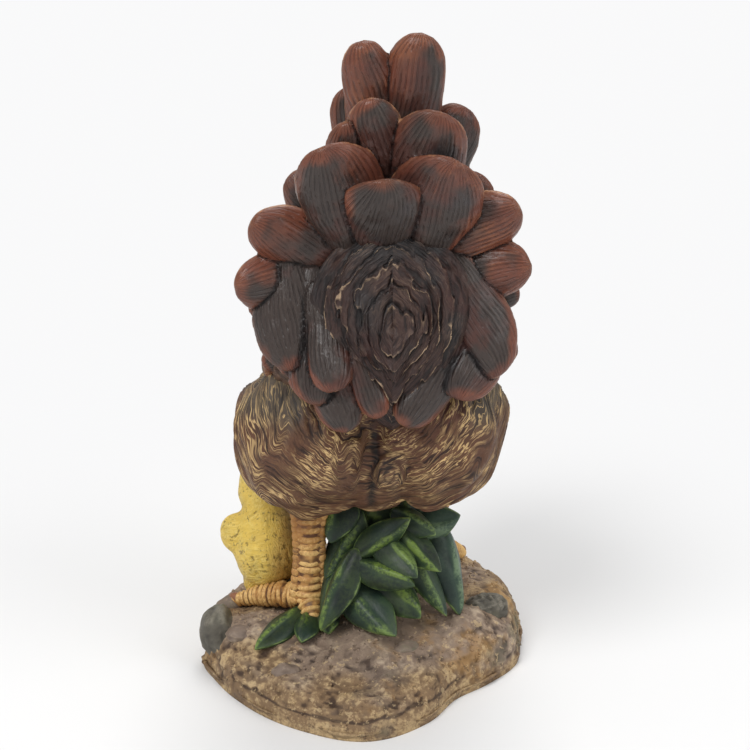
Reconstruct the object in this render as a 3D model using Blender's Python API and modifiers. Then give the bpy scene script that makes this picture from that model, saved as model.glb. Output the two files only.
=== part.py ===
"""Hen figurine: a cast resin ornament of a hen seen to stand over a chick and a leafy plant, on a
mound of earth with stones. The whole ornament is one casting with a flat underside.

Metres, +Z up. The hen faces +Y. The origin is on the table, under the middle of the mound."""

import math

import bmesh
import bpy
from mathutils import Matrix, Vector, noise

MM = 0.001

# Driving dimensions, in millimetres
MOUND_WIDE = 114.0
MOUND_DEEP = 130.0
EARTH_TOP = 21.0
HEN_X = 6.0
BELLY_Z = 60.0
BODY_WIDE = 73.0
BODY_TALL = 76.0
TAIL_HUB_Z = 140.0
TAIL_TOP_Z = 217.0
TAIL_ROOT_Y = -25.0
LEG_RADIUS = 5.3
TOE_RADIUS = 4.1
LEFT_FOOT = (-18.5, -11.0)
RIGHT_FOOT = (25.0, 20.0)
PLANT_FOOT = (8.0, -10.0)
CHICK_X = -33.5
CHICK_Y = 7.0
HEAD_Y = 46.0
HEAD_Z = 154.0

# Coarse tufts carved in the thighs: how far apart, how much longer than wide, how deep
TUFT_PITCH = 10.0
TUFT_LENGTH = 2.2
TUFT_DEEP = 3.0

# Trodden clods of the mound: how far apart and how deep
CLOD_PITCH = 13.0
CLOD_DEEP = 3.2

# Cast skin: the grain at which overlapping forms flow into one surface, and how much is kept
SKIN_GRAIN = 0.8
SKIN_TRIANGLES = 10400

# How far up the hub the tail feathers reach at the very top
TAIL_RISE = TAIL_TOP_Z - TAIL_HUB_Z

# Body stations from the rump forward: y, middle above the belly, shares of the half width and half height
BODY_STATIONS = (
    (-40.0, 55.0, 0.0, 0.0),
    (-36.5, 55.0, 0.69, 0.60),
    (-24.0, 47.0, 1.0, 0.93),
    (-4.0, 39.0, 1.0, 1.0),
    (18.0, 38.0, 0.93, 0.97),
    (38.0, 43.0, 0.78, 0.84),
    (51.0, 50.0, 0.47, 0.53),
    (54.0, 52.0, 0.0, 0.0),
)

# Tail feathers, one row each: degrees from upright towards +X, reach from the hub,
# width, thickness, how far the tip stands behind the root, and camber
FAR_FEATHERS = (
    (-11.0, 62.0, 15.0, 7.0, 2.0, 1.5),
    (23.0, 60.0, 19.0, 7.0, 2.0, 1.5),
    (-41.0, 45.0, 18.0, 6.0, 0.0, 1.5),
    (43.0, 45.0, 19.0, 6.0, 0.0, 1.5),
    (-101.0, 44.0, 13.0, 6.0, 4.0, 1.5),
    (-114.0, 45.0, 11.0, 6.0, 2.0, 1.5),
    (-126.0, 48.0, 12.0, 6.0, 1.0, 1.5),
    (95.0, 42.5, 13.0, 6.0, 3.0, 1.5),
    (121.0, 48.0, 16.0, 6.0, 2.0, 1.5),
)
MIDDLE_FEATHERS = (
    (-5.2, TAIL_RISE - 1.2, 15.5, 8.0, 9.0, 2.5),
    (7.4, TAIL_RISE + 1.2, 18.5, 8.0, 9.5, 2.5),
    (-61.0, 47.5, 19.5, 8.0, 13.0, 3.5),
    (-87.0, 47.5, 21.0, 8.0, 11.0, 3.5),
    (55.0, 49.0, 19.5, 8.0, 13.0, 3.5),
    (79.0, 45.5, 21.0, 8.0, 10.0, 3.5),
)
NEAR_FEATHERS = (
    (-13.0, 55.0, 17.0, 7.0, 14.0, 3.0),
    (-4.2, 61.0, 17.0, 7.0, 17.0, 3.0),
    (15.0, 60.0, 25.0, 7.0, 19.0, 4.0),
    (-22.0, 53.0, 28.0, 8.0, 23.0, 5.0),
    (25.5, 50.0, 30.0, 8.0, 24.0, 5.0),
    (-2.0, 41.5, 27.0, 7.0, 29.0, 4.5),
)

# Short covering feathers on the front of the tail, towards the back of the hen
COVER_FEATHERS = (
    (-52.0, 34.0), (-26.0, 42.0), (0.0, 50.0), (26.0, 42.0), (52.0, 34.0),
    (-36.0, 24.0), (-12.0, 32.0), (12.0, 32.0), (36.0, 24.0),
)

# Hanging feathers under the tail: root and tip from the hub of the tail, width, thickness, camber
HANGING_FEATHERS = (
    ((-28.0, -4.0, 14.0), (-26.5, -17.5, -24.5), 26.0, 6.0, 4.0),
    ((-21.0, -6.0, 8.0), (-18.5, -21.0, -34.0), 24.0, 6.0, 4.0),
    ((-19.0, -8.0, 2.0), (-11.0, -23.5, -42.0), 17.0, 6.0, 3.0),
    ((-21.0, -8.0, 5.0), (-13.5, -26.5, -28.5), 16.0, 5.0, 3.0),
    ((-9.0, -20.0, -16.0), (0.0, -25.5, -36.5), 11.0, 4.0, 2.0),
    ((20.0, -5.0, 14.0), (35.5, -15.5, -26.5), 23.0, 8.0, 4.0),
    ((32.0, -5.0, -2.0), (23.0, -19.0, -33.5), 24.0, 6.0, 4.0),
    ((30.0, -9.0, -10.0), (5.0, -22.5, -39.5), 17.0, 6.0, 3.0),
)

# Almond rows of fluff around the vent: width, height, how far the row stands out behind the hub,
# and how far its middle hangs below the hub
VENT_ROWS = (
    (50.0, 66.0, 17.5, 10.0),
    (37.0, 54.0, 21.5, 8.0),
    (24.5, 41.0, 25.0, 7.5),
    (12.0, 27.0, 28.0, 8.0),
)

# Plant leaves: root, tip, width, thickness, sweep
LEAVES = (
    ((-3.0, -17.0, 43.0), (16.5, -18.0, 58.0), 10.5, 4.0, 2.0),
    ((-5.0, -8.0, 62.0), (-9.5, -15.0, 47.5), 12.5, 5.0, 1.0),
    ((0.0, -8.0, 57.0), (-11.5, -15.0, 33.0), 11.0, 4.0, 1.0),
    ((9.0, -11.0, 56.0), (24.0, -15.0, 48.5), 10.0, 4.0, 1.5),
    ((12.0, -4.0, 46.0), (33.5, -6.0, 53.5), 15.0, 5.0, 1.0),
    ((12.0, -14.0, 51.0), (24.5, -20.0, 37.0), 11.5, 4.0, 3.5),
    ((4.0, -15.0, 49.0), (18.0, -27.0, 37.5), 12.0, 4.5, 2.5),
    ((-4.0, -18.0, 40.0), (18.0, -28.0, 36.0), 10.5, 4.5, 1.5),
    ((16.0, -13.0, 43.0), (26.5, -19.0, 21.0), 9.5, 4.0, 2.0),
    ((25.0, -5.0, 49.0), (30.5, -12.0, 18.5), 13.0, 5.0, 2.0),
    ((5.0, -15.0, 34.0), (19.0, -24.0, 22.0), 13.0, 4.5, 1.5),
    ((-8.0, -13.0, 34.0), (11.5, -28.5, 17.5), 16.5, 5.0, 2.5),
    ((-1.0, -18.0, 46.0), (-12.0, -26.0, 19.0), 11.0, 5.0, 2.0),
    ((-7.0, -12.0, 42.0), (-12.5, -20.0, 20.0), 9.5, 4.0, 1.0),
    ((18.0, 0.0, 34.0), (20.0, 16.0, 52.0), 14.0, 4.5, 2.0),
    ((0.0, 0.0, 36.0), (-6.0, 14.0, 50.0), 14.0, 4.5, 2.0),
    ((9.0, 4.0, 38.0), (8.0, 22.0, 25.0), 14.0, 4.5, 2.0),
)

# Leaves lying on the earth: root, tip, width
FALLEN_LEAVES = (
    ((-20.0, -14.0), (-36.0, -32.0), 10.0),
    ((-17.5, -16.0), (-20.5, -31.0), 9.0),
    ((-13.0, -13.0), (-11.5, -27.0), 9.0),
)

# Stones in the earth: place as shares of the mound's half sizes, half sizes, turn in degrees
STONES = (
    ((0.754, -0.046), (8.0, 6.0, 5.0), 20.0),
    ((-0.719, -0.308), (5.5, 4.2, 3.0), 0.0),
    ((0.254, -0.477), (4.8, 3.4, 2.6), 10.0),
    ((-0.439, -0.631), (5.0, 3.2, 3.2), 15.0),
    ((-0.807, 0.015), (6.0, 3.8, 4.5), 35.0),
    ((-0.88, -0.185), (6.2, 9.5, 9.0), 0.0),
    ((-0.596, 0.615), (6.0, 5.0, 4.0), 30.0),
    ((0.105, 0.8), (5.5, 4.0, 3.5), 0.0),
)

# Outline of the mound: degrees round from +X on an even oval, and share of the oval's half sizes
OUTLINE = (
    (0.0, 0.991), (15.0, 1.025), (28.7, 1.035), (43.2, 1.051), (54.5, 1.065), (73.0, 1.026),
    (90.0, 0.995), (112.5, 0.986), (132.7, 0.976), (150.3, 0.948), (168.6, 0.951), (181.8, 0.989),
    (193.2, 1.01), (203.2, 0.978), (224.2, 0.95), (248.6, 0.961), (272.3, 0.996), (294.7, 0.903),
    (312.7, 0.806), (331.3, 0.874), (346.8, 0.966),
)

# Side of the mound from the underside up to the crown: share of the way, reach, height
MOUND_WAY = (0.0, 0.16, 0.30, 0.42, 0.54, 0.66, 0.80, 1.0)
MOUND_REACH = (0.0, 0.955, 0.985, 0.98, 0.955, 0.89, 0.69, 0.0)
MOUND_HEIGHT = (-4.0, -4.0, 1.5, 6.0, 11.0, 15.5, 18.6, EARTH_TOP)


def clear_scene():
    for thing in list(bpy.data.objects):
        bpy.data.objects.remove(thing, do_unlink=True)


def collection(name, hidden=False):
    made = bpy.data.collections.new(name)
    bpy.context.scene.collection.children.link(made)
    made.hide_render = hidden
    return made


def ease(way, stops, values):
    """A smooth curve through the values at the stops."""
    way = min(max(way, stops[0]), stops[-1])
    place = max(i for i in range(len(stops) - 1) if way >= stops[i])
    before, after = max(place - 1, 0), min(place + 2, len(stops) - 1)
    step = stops[place + 1] - stops[place]
    share = (way - stops[place]) / step
    rise_in = (values[place + 1] - values[before]) / (stops[place + 1] - stops[before]) * step
    rise_out = (values[after] - values[place]) / (stops[after] - stops[place]) * step
    square, cube = share * share, share**3
    return (
        (2 * cube - 3 * square + 1) * values[place]
        + (cube - 2 * square + share) * rise_in
        + (3 * square - 2 * cube) * values[place + 1]
        + (cube - square) * rise_out
    )


class Clay:
    """Overlapping closed forms, pressed together in one lump."""

    def __init__(self):
        self.lump = bmesh.new()

    def press(self, form):
        mesh = bpy.data.meshes.new("form")
        form.to_mesh(mesh)
        form.free()
        self.lump.from_mesh(mesh)
        bpy.data.meshes.remove(mesh)

    def ball(self, rule, segments=24, rings=16):
        """A sphere with each point moved by the rule."""
        form = bmesh.new()
        bmesh.ops.create_uvsphere(form, u_segments=segments, v_segments=rings, radius=1.0)
        for vert in form.verts:
            vert.co = Vector(rule(vert.co)) * MM
        self.press(form)

    def blob(self, place, sizes, turn=0.0, tip=0.0):
        """An ellipsoid, turned about +Z and tipped about +X, both in degrees."""
        pose = Matrix.Rotation(math.radians(turn), 3, "Z") @ Matrix.Rotation(math.radians(tip), 3, "X")
        middle = Vector(place)
        self.ball(lambda co: middle + pose @ Vector([co[i] * sizes[i] for i in range(3)]))

    def tufted_blob(self, place, sizes, tip):
        """An ellipsoid tipped about +X, with coarse tufts of fluff that hang down its sides."""
        pose = Matrix.Rotation(math.radians(tip), 3, "X")
        middle = Vector(place)

        def rule(co):
            point = middle + pose @ Vector([co[i] * sizes[i] for i in range(3)])
            cell = Vector((point.x, point.y, point.z / TUFT_LENGTH)) / TUFT_PITCH
            return point + pose @ co * (TUFT_DEEP * noise.noise(cell))

        self.ball(rule, 56, 36)

    def petal(self, root, tip, facing, width, thick, camber=0.0, curl=0.0, pointed=False):
        """A feather or leaf blade with a rounded or pointed tip, its broad side turned to facing."""
        root = Vector(root)
        axis = Vector(tip) - root
        length = axis.length
        axis.normalize()
        normal = Vector(facing)
        normal = (normal - axis * normal.dot(axis)).normalized()
        side = normal.cross(axis)
        round_end = min(0.5, 0.72 * width / length)

        def rule(co):
            way = math.acos(max(-1.0, min(1.0, -co.z))) / math.pi
            way = (1.0 + co.z) / 2.0 * 0.5 + way * 0.5
            ring = math.hypot(co.x, co.y) or 1.0
            if pointed:
                broad = math.sin(math.pi * way**0.8) ** 0.8
                deep = (1.0 - abs(2.0 * way - 1.0) ** 4) ** 0.5 * (0.45 + 0.55 * broad)
            else:
                end = max(0.0, round_end - way, way - 1.0 + round_end) / round_end
                broad = (0.6 + 0.4 * min(way / 0.6, 1.0)) * max(1.0 - end**2, 0.0) ** 0.5
                deep = max(1.0 - end**3, 0.0) ** 0.5
            across = co.x / ring * broad
            lift = camber * (1.0 - across**2) + curl * way**2
            through = co.y / ring * deep * thick / 2.0 + lift
            return root + side * (across * width / 2.0) + axis * (way * length) + normal * through

        self.ball(rule, 28, 22)

    def limb(self, points, radii):
        """A tapered round limb along a smooth curve."""
        curve = bpy.data.curves.new("limb", "CURVE")
        curve.dimensions = "3D"
        curve.bevel_depth = MM
        curve.bevel_resolution = 4
        curve.resolution_u = 6
        curve.use_fill_caps = True
        spline = curve.splines.new("BEZIER")
        spline.bezier_points.add(len(points) - 1)
        for knot, point, radius in zip(spline.bezier_points, points, radii):
            knot.co = Vector(point) * MM
            knot.radius = radius
            knot.handle_left_type = "AUTO"
            knot.handle_right_type = "AUTO"
        guide = bpy.data.objects.new("limb", curve)
        bpy.context.scene.collection.objects.link(guide)
        bpy.context.view_layer.update()
        mesh = bpy.data.meshes.new_from_object(guide.evaluated_get(bpy.context.evaluated_depsgraph_get()))
        bpy.data.objects.remove(guide, do_unlink=True)
        form = bmesh.new()
        form.from_mesh(mesh)
        bmesh.ops.remove_doubles(form, verts=form.verts, dist=0.00001)
        bmesh.ops.recalc_face_normals(form, faces=form.faces)
        bpy.data.meshes.remove(mesh)
        self.press(form)
        self.blob(points[-1], (radii[-1],) * 3)

    def barrel(self, stations):
        """A body along +Y through stations of y, centre x, centre z, half width and half height."""
        stops = [i / (len(stations) - 1) for i in range(len(stations))]
        columns = [[row[i] for row in stations] for i in range(5)]

        def rule(co):
            way = math.acos(max(-1.0, min(1.0, -co.z))) / math.pi
            y, x, z, wide, tall = (ease(way, stops, column) for column in columns)
            ring = math.hypot(co.x, co.y)
            if ring < 1e-6:
                return (x, y, z)
            return (x - co.x / ring * max(wide, 0.0), y, z + co.y / ring * max(tall, 0.0))

        self.ball(rule, 32, 24)


def reach_of_mound(angle):
    """How far the mound reaches in this direction, in degrees, as a share of an even oval."""
    degrees = [row[0] for row in OUTLINE]
    reaches = [row[1] for row in OUTLINE]
    stops = [degrees[-1] - 360.0, *degrees, 360.0, 360.0 + degrees[1]]
    values = [reaches[-1], *reaches, reaches[0], reaches[1]]
    return ease(angle % 360.0, stops, values)


def earth_height(x, y):
    """Top of the earth under a point of the plan."""
    across, along = x / (MOUND_WIDE / 2.0), y / (MOUND_DEEP / 2.0)
    share = math.hypot(across, along) / reach_of_mound(math.degrees(math.atan2(along, across)))
    from_crown = list(reversed(MOUND_REACH[2:]))
    fall = list(reversed(MOUND_HEIGHT[2:]))
    return ease(share, from_crown, fall) * front_slope(y)


def front_slope(y):
    """The mound is lower towards its front edge, behind the hen."""
    return 1.0 - 0.42 * min(max(-y / (MOUND_DEEP / 2.0) * 1.3 - 0.24, 0.0), 1.0)


def press_mound(clay):
    def rule(co):
        way = math.acos(max(-1.0, min(1.0, -co.z))) / math.pi
        angle = math.degrees(math.atan2(co.y, co.x))
        reach = reach_of_mound(angle) * ease(way, MOUND_WAY, MOUND_REACH)
        height = ease(way, MOUND_WAY, MOUND_HEIGHT)
        x = reach * math.cos(math.radians(angle)) * MOUND_WIDE / 2.0
        y = reach * math.sin(math.radians(angle)) * MOUND_DEEP / 2.0
        if height > 3.0:
            height *= front_slope(y)
            height += CLOD_DEEP * noise.noise(Vector((x, y, height)) / CLOD_PITCH)
        return (x, y, height)

    clay.ball(rule, 96, 48)
    for (across, along), sizes, turn in STONES:
        x, y = across * MOUND_WIDE / 2.0, along * MOUND_DEEP / 2.0
        clay.blob((x, y, earth_height(x, y) - sizes[2] * 0.35), sizes, turn)


def press_body(clay):
    clay.barrel(
        [
            (y, HEN_X, BELLY_Z + up, wide * BODY_WIDE / 2.0, tall * BODY_TALL / 2.0)
            for y, up, wide, tall in BODY_STATIONS
        ]
    )
    for turn, y, up, wide in ((-22.5, -16.0, 26.5, 26.5), (16.5, -14.0, 29.0, 24.5)):
        clay.tufted_blob((HEN_X + turn, y, BELLY_Z + up), (wide, BODY_WIDE * 0.39, BODY_TALL * 0.36), -8.0)
    clay.tufted_blob((HEN_X - 2.0, -12.0, BELLY_Z + 22.0), (20.0, 26.0, 22.0), 0.0)
    clay.blob((HEN_X + 2.5, -36.0, BELLY_Z + 21.0), (6.0, 5.0, 7.0), 0.0, -12.0)
    vent_wide = VENT_ROWS[0][0] / 2.0
    vent_tall = VENT_ROWS[0][1] / 2.0
    clay.blob((HEN_X + 2.0, TAIL_ROOT_Y - 2.0, TAIL_HUB_Z), (vent_wide + 4.0, 10.0, vent_tall - 1.0))
    clay.blob((HEN_X + 3.5, TAIL_ROOT_Y - 9.0, TAIL_HUB_Z - 12.0), (vent_wide, 13.0, vent_tall + 1.0))


def press_neck_and_head(clay):
    clay.limb(
        ((HEN_X, 22.0, 112.0), (HEN_X, 36.0, 128.0), (HEN_X, HEAD_Y - 2.0, HEAD_Z - 6.0)),
        (29.0, 21.0, 12.0),
    )
    clay.blob((HEN_X, HEAD_Y, HEAD_Z), (11.5, 14.0, 12.0), 0.0, 10.0)
    clay.limb(
        ((HEN_X, HEAD_Y + 8.0, HEAD_Z - 1.0), (HEN_X, HEAD_Y + 14.0, HEAD_Z - 2.0),
         (HEN_X, HEAD_Y + 18.0, HEAD_Z - 5.0)),
        (5.0, 3.2, 1.0),
    )
    for place, (lobe_y, lobe_z, tall) in enumerate(
        ((-9.0, 9.0, 6.0), (-4.0, 12.0, 8.0), (2.0, 13.0, 8.5), (8.0, 11.5, 7.0), (12.0, 8.0, 4.5))
    ):
        clay.blob((HEN_X, HEAD_Y + lobe_y, HEAD_Z + lobe_z), (2.6, 3.8, tall), 0.0, 18.0 - 9.0 * place)
    for turn in (-1.0, 1.0):
        clay.blob((HEN_X + turn * 4.5, HEAD_Y + 11.0, HEAD_Z - 12.0), (2.4, 4.2, 8.0), 0.0, 8.0)
        clay.blob((HEN_X + turn * 10.4, HEAD_Y + 5.0, HEAD_Z + 2.0), (2.0, 2.8, 2.8))
        clay.blob((HEN_X + turn * 10.6, HEAD_Y - 2.0, HEAD_Z - 5.0), (2.0, 3.2, 4.5))


def press_wings(clay):
    for turn in (-1.0, 1.0):
        side = HEN_X + turn * 30.0
        facing = (turn, -0.1, 0.15)
        clay.petal((side - turn * 3.0, 36.0, 120.0), (side, -20.0, 106.0), facing, 42.0, 9.0, 3.5)
        for row, (fall, back) in enumerate(((0.0, -27.0), (-9.5, -21.0), (-18.0, -14.0))):
            root = (side + turn * 1.5, 22.0, 113.0 + fall * 0.6)
            tip = (side + turn * (2.0 - row * 0.4), back, 110.0 + fall)
            clay.petal(root, tip, facing, 14.0, 6.0, 3.5)


def press_tail(clay):
    for rank, rows in enumerate((FAR_FEATHERS, MIDDLE_FEATHERS, NEAR_FEATHERS)):
        for degrees, reach, width, thick, back, camber in rows:
            turn = math.radians(degrees)
            hub = Vector((HEN_X + 1.5, TAIL_ROOT_Y + 2.0 - rank, TAIL_HUB_Z))
            tip = hub + Vector((math.sin(turn) * reach, -back, math.cos(turn) * reach))
            clay.petal(hub, tip, (0.0, -1.0, 0.0), width, thick, camber, 1.0)
    for root, tip, width, thick, camber in HANGING_FEATHERS:
        hub = Vector((HEN_X, TAIL_ROOT_Y, TAIL_HUB_Z))
        clay.petal(hub + Vector(root), hub + Vector(tip), (0.0, -1.0, 0.0), width, thick, camber, 0.0)
    for width, height, out, down in VENT_ROWS:
        back, middle = TAIL_ROOT_Y - out, TAIL_HUB_Z - down
        root = (HEN_X + 3.0, back + 3.0, middle + height / 2.0)
        tip = (HEN_X + 3.5, back, middle - height / 2.0)
        clay.petal(root, tip, (0.0, -1.0, 0.0), width, 6.0, 2.5, 0.0, True)
    for degrees, reach in COVER_FEATHERS:
        turn = math.radians(degrees)
        hub = Vector((HEN_X + 1.5, TAIL_ROOT_Y + 7.0, TAIL_HUB_Z))
        tip = hub + Vector((math.sin(turn) * reach, 3.0 - reach * 0.16, math.cos(turn) * reach))
        clay.petal(hub, tip, (0.0, 1.0, 0.0), 19.0, 6.0, 4.0, 0.0)


def press_foot(clay, foot, top, toes):
    x, y = foot
    ankle = earth_height(x, y) + 5.0
    clay.limb(
        ((top[0], top[1], BELLY_Z + 12.0), ((x + top[0]) / 2.0, (y + top[1]) / 2.0, 44.0), (x, y, ankle)),
        (LEG_RADIUS + 2.0, LEG_RADIUS - 0.4, LEG_RADIUS + 0.8),
    )
    for tip_x, tip_y in toes:
        middle_x, middle_y = x + (tip_x - x) * 0.55, y + (tip_y - y) * 0.55
        low = earth_height(tip_x, tip_y)
        clay.limb(
            ((x, y, ankle), (middle_x, middle_y, earth_height(middle_x, middle_y) + 3.4), (tip_x, tip_y, low + 0.5)),
            (TOE_RADIUS + 1.2, TOE_RADIUS, TOE_RADIUS * 0.55),
        )


def press_legs(clay):
    press_foot(clay, LEFT_FOOT, (-18.0, -12.0), ((-45.0, 0.0), (-24.0, 24.0), (0.0, 12.0), (-17.0, -20.0)))
    press_foot(clay, RIGHT_FOOT, (24.0, 12.0), ((36.5, 43.0), (22.0, 52.0), (6.0, 44.0), (32.0, 4.0)))


def press_chick(clay):
    ground = EARTH_TOP - 2.0
    clay.blob((CHICK_X, CHICK_Y, ground + 18.5), (13.0, 16.0, 16.5))
    clay.blob((CHICK_X - 9.5, CHICK_Y - 1.0, ground + 22.0), (7.5, 7.5, 7.5), 0.0, 0.0)
    clay.blob((CHICK_X - 0.5, CHICK_Y + 4.0, ground + 37.0), (10.0, 11.5, 13.5))
    clay.blob((CHICK_X - 4.0, CHICK_Y - 3.0, ground + 5.0), (5.0, 5.0, 6.0))
    clay.limb(
        ((CHICK_X, CHICK_Y + 13.0, ground + 40.0), (CHICK_X, CHICK_Y + 19.0, ground + 38.5)),
        (2.6, 0.8),
    )
    for turn in (-1.0, 1.0):
        clay.blob((CHICK_X + turn * 7.6, CHICK_Y + 11.0, ground + 41.0), (1.5, 1.7, 1.7))
        clay.limb(
            ((CHICK_X + turn * 5.0, CHICK_Y + 8.0, ground + 8.0), (CHICK_X + turn * 5.0, CHICK_Y + 14.0, ground)),
            (3.0, 2.0),
        )


def press_plant(clay):
    x, y = PLANT_FOOT
    clay.blob((x, y + 7.0, 42.0), (20.0, 8.0, 24.0))
    for root, tip, width, thick, curl in LEAVES:
        outward = -1.0 if tip[1] < y + 10.0 else 1.0
        facing = ((tip[0] - x) * 0.03, outward, 0.5)
        clay.petal(root, tip, facing, width, thick, 2.0, curl, True)
    for root, tip, width in FALLEN_LEAVES:
        start = (*root, earth_height(*root) + 1.5)
        end = (*tip, earth_height(*tip) + 0.8)
        clay.petal(start, end, (0.0, -0.5, 1.0), width, 3.6, 0.8, 0.0, True)


def biggest_island(form):
    """Only the outer skin: any closed pocket left inside the lump is dropped."""
    left = set(form.verts)
    best = []
    while left:
        found = [left.pop()]
        for vert in found:
            for edge in vert.link_edges:
                other = edge.other_vert(vert)
                if other in left:
                    left.remove(other)
                    found.append(other)
        if len(found) > len(best):
            best = found
    keep = set(best)
    bmesh.ops.delete(form, geom=[vert for vert in form.verts if vert not in keep], context="VERTS")


def centre_over_origin(mesh):
    """The middle of the footprint goes over the origin."""
    for axis in (0, 1):
        reach = [vert.co[axis] for vert in mesh.vertices]
        middle = (max(reach) + min(reach)) / 2.0
        for vert in mesh.vertices:
            vert.co[axis] -= middle


def baked(thing):
    """The object's mesh with its modifiers worked in."""
    bpy.context.view_layer.update()
    graph = bpy.context.evaluated_depsgraph_get()
    return bpy.data.meshes.new_from_object(thing.evaluated_get(graph))


def cast(clay, into, cutters):
    """The skin of the lump as one solid, with the ground cut flat."""
    lump = bpy.data.meshes.new("hen_figurine")
    clay.lump.to_mesh(lump)
    clay.lump.free()
    figurine = bpy.data.objects.new("hen_figurine", lump)
    into.objects.link(figurine)
    skin = figurine.modifiers.new("Skin", "REMESH")
    skin.mode = "VOXEL"
    skin.voxel_size = SKIN_GRAIN * MM
    skin.show_render = skin.show_viewport
    figurine.data = baked(figurine)
    figurine.modifiers.clear()

    form = bmesh.new()
    form.from_mesh(figurine.data)
    biggest_island(form)
    bmesh.ops.triangulate(form, faces=form.faces)
    form.to_mesh(figurine.data)
    found = len(form.faces)
    form.free()
    thin = figurine.modifiers.new("Thin", "DECIMATE")
    thin.ratio = SKIN_TRIANGLES / found
    figurine.data = baked(figurine)
    figurine.modifiers.clear()
    centre_over_origin(figurine.data)

    box = bmesh.new()
    bmesh.ops.create_cube(box, size=1.0)
    bmesh.ops.scale(box, vec=(MOUND_WIDE * 2 * MM, MOUND_DEEP * 2 * MM, EARTH_TOP * MM), verts=box.verts)
    bmesh.ops.translate(box, vec=(0.0, 0.0, -EARTH_TOP / 2 * MM), verts=box.verts)
    ground_mesh = bpy.data.meshes.new("ground_cutter")
    box.to_mesh(ground_mesh)
    box.free()
    ground = bpy.data.objects.new("ground_cutter", ground_mesh)
    ground.display_type = "WIRE"
    ground.hide_render = True
    cutters.objects.link(ground)
    cut = figurine.modifiers.new("Flat underside", "BOOLEAN")
    cut.operation = "DIFFERENCE"
    cut.solver = "EXACT"
    cut.object = ground
    return figurine


def resin_paint():
    material = bpy.data.materials.new("painted_resin")
    material.use_nodes = True
    shader = material.node_tree.nodes["Principled BSDF"]
    shader.inputs["Base Color"].default_value = (0.075, 0.045, 0.032, 1.0)
    shader.inputs["Roughness"].default_value = 0.55
    shader.inputs["Metallic"].default_value = 0.0
    return material


def main():
    clear_scene()
    into = collection("hen_figurine_parts")
    cutters = collection("cutters", hidden=True)
    clay = Clay()
    press_mound(clay)
    press_body(clay)
    press_neck_and_head(clay)
    press_wings(clay)
    press_tail(clay)
    press_legs(clay)
    press_chick(clay)
    press_plant(clay)
    figurine = cast(clay, into, cutters)
    figurine.data.materials.clear()
    figurine.data.materials.append(resin_paint())
    for face in figurine.data.polygons:
        face.use_smooth = True


main()
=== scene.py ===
# %% [markdown]
# A hen ornament in cast resin, seen from behind: the hen stands over a chick and a leafy plant on
# a mound of earth. The real one is one casting, painted by hand. A dark wash runs into the carved
# grooves first, and a nearly dry brush then leaves light paint on whatever stands up. So the
# carving is made as real shape here, and the same carving drives the paint.

import math

import bmesh
import bpy
import numpy as np
from mathutils import Matrix, Vector, noise


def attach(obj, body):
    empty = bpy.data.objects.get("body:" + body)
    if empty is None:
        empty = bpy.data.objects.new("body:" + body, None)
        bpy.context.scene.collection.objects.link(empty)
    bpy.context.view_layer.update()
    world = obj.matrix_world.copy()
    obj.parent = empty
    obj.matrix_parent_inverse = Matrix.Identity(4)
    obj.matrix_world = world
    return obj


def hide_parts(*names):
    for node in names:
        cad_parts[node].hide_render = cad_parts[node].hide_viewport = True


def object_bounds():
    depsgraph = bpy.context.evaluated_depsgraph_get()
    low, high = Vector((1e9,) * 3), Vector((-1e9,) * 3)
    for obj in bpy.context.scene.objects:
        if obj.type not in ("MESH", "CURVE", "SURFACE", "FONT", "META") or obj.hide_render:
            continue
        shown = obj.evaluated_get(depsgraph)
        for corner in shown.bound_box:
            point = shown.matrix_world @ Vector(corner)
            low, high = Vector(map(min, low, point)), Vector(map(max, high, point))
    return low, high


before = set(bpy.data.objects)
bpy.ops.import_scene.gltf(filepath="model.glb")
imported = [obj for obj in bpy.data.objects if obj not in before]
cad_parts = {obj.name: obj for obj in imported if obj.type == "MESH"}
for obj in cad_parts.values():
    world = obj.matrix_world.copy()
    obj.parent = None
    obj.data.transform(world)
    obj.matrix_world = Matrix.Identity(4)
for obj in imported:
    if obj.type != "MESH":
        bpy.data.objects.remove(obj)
CAD_BOX = [list(corner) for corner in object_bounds()]
MM = 0.001
print("casting box", CAD_BOX)

# %% [markdown]
# The camera stands behind the hen and a little above it, as the photograph was taken: about half a
# metre away, which is why the mound shows its top while the tail is seen nearly level.

# %% Camera
CAMERA_SPOT = (0.004, -0.486, 0.259)
CAMERA_DIP = 18.0
LENS_PIXELS = 1525.0
PHOTO_PIXELS = 750.0


def put_in_scene(name, data):
    thing = bpy.data.objects.new(name, data)
    bpy.context.scene.collection.objects.link(thing)
    return thing


lens = bpy.data.cameras.new("photo_camera")
lens.sensor_width = 36.0
lens.lens = lens.sensor_width * LENS_PIXELS / PHOTO_PIXELS
lens.clip_start = 0.01
camera = put_in_scene("photo_camera", lens)
camera.location = CAMERA_SPOT
camera.rotation_euler = (math.radians(90.0 - CAMERA_DIP), 0.0, 0.0)
bpy.context.scene.camera = camera
bpy.context.scene.view_settings.view_transform = "Standard"
print("lens", round(lens.lens, 1), "mm")

# %% [markdown]
# Carving by hand is never even. Smooth random values at points in space give that unevenness.
# Blender's own noise works one point at a time, so this one works on whole arrays: it takes a
# random value at each corner of a grid cell and eases between the corners.

# %% Smooth random values
def corner_value(cells, seed):
    """A random value from -1 to 1 for each whole-numbered corner, always the same for the same seed."""
    x, y, z = np.moveaxis(cells, -1, 0)
    n = x * 73856093 ^ y * 19349663 ^ z * 83492791 ^ (seed * 374761393 + 977)
    n = (n ^ (n >> 13)) * 1274126177
    n = (n ^ (n >> 16)) & 0xFFFF
    return n / 32767.5 - 1.0


def xyz(*parts):
    """Coordinates side by side: three arrays or numbers become one array of points."""
    return np.stack(np.broadcast_arrays(*parts), -1)


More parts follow.
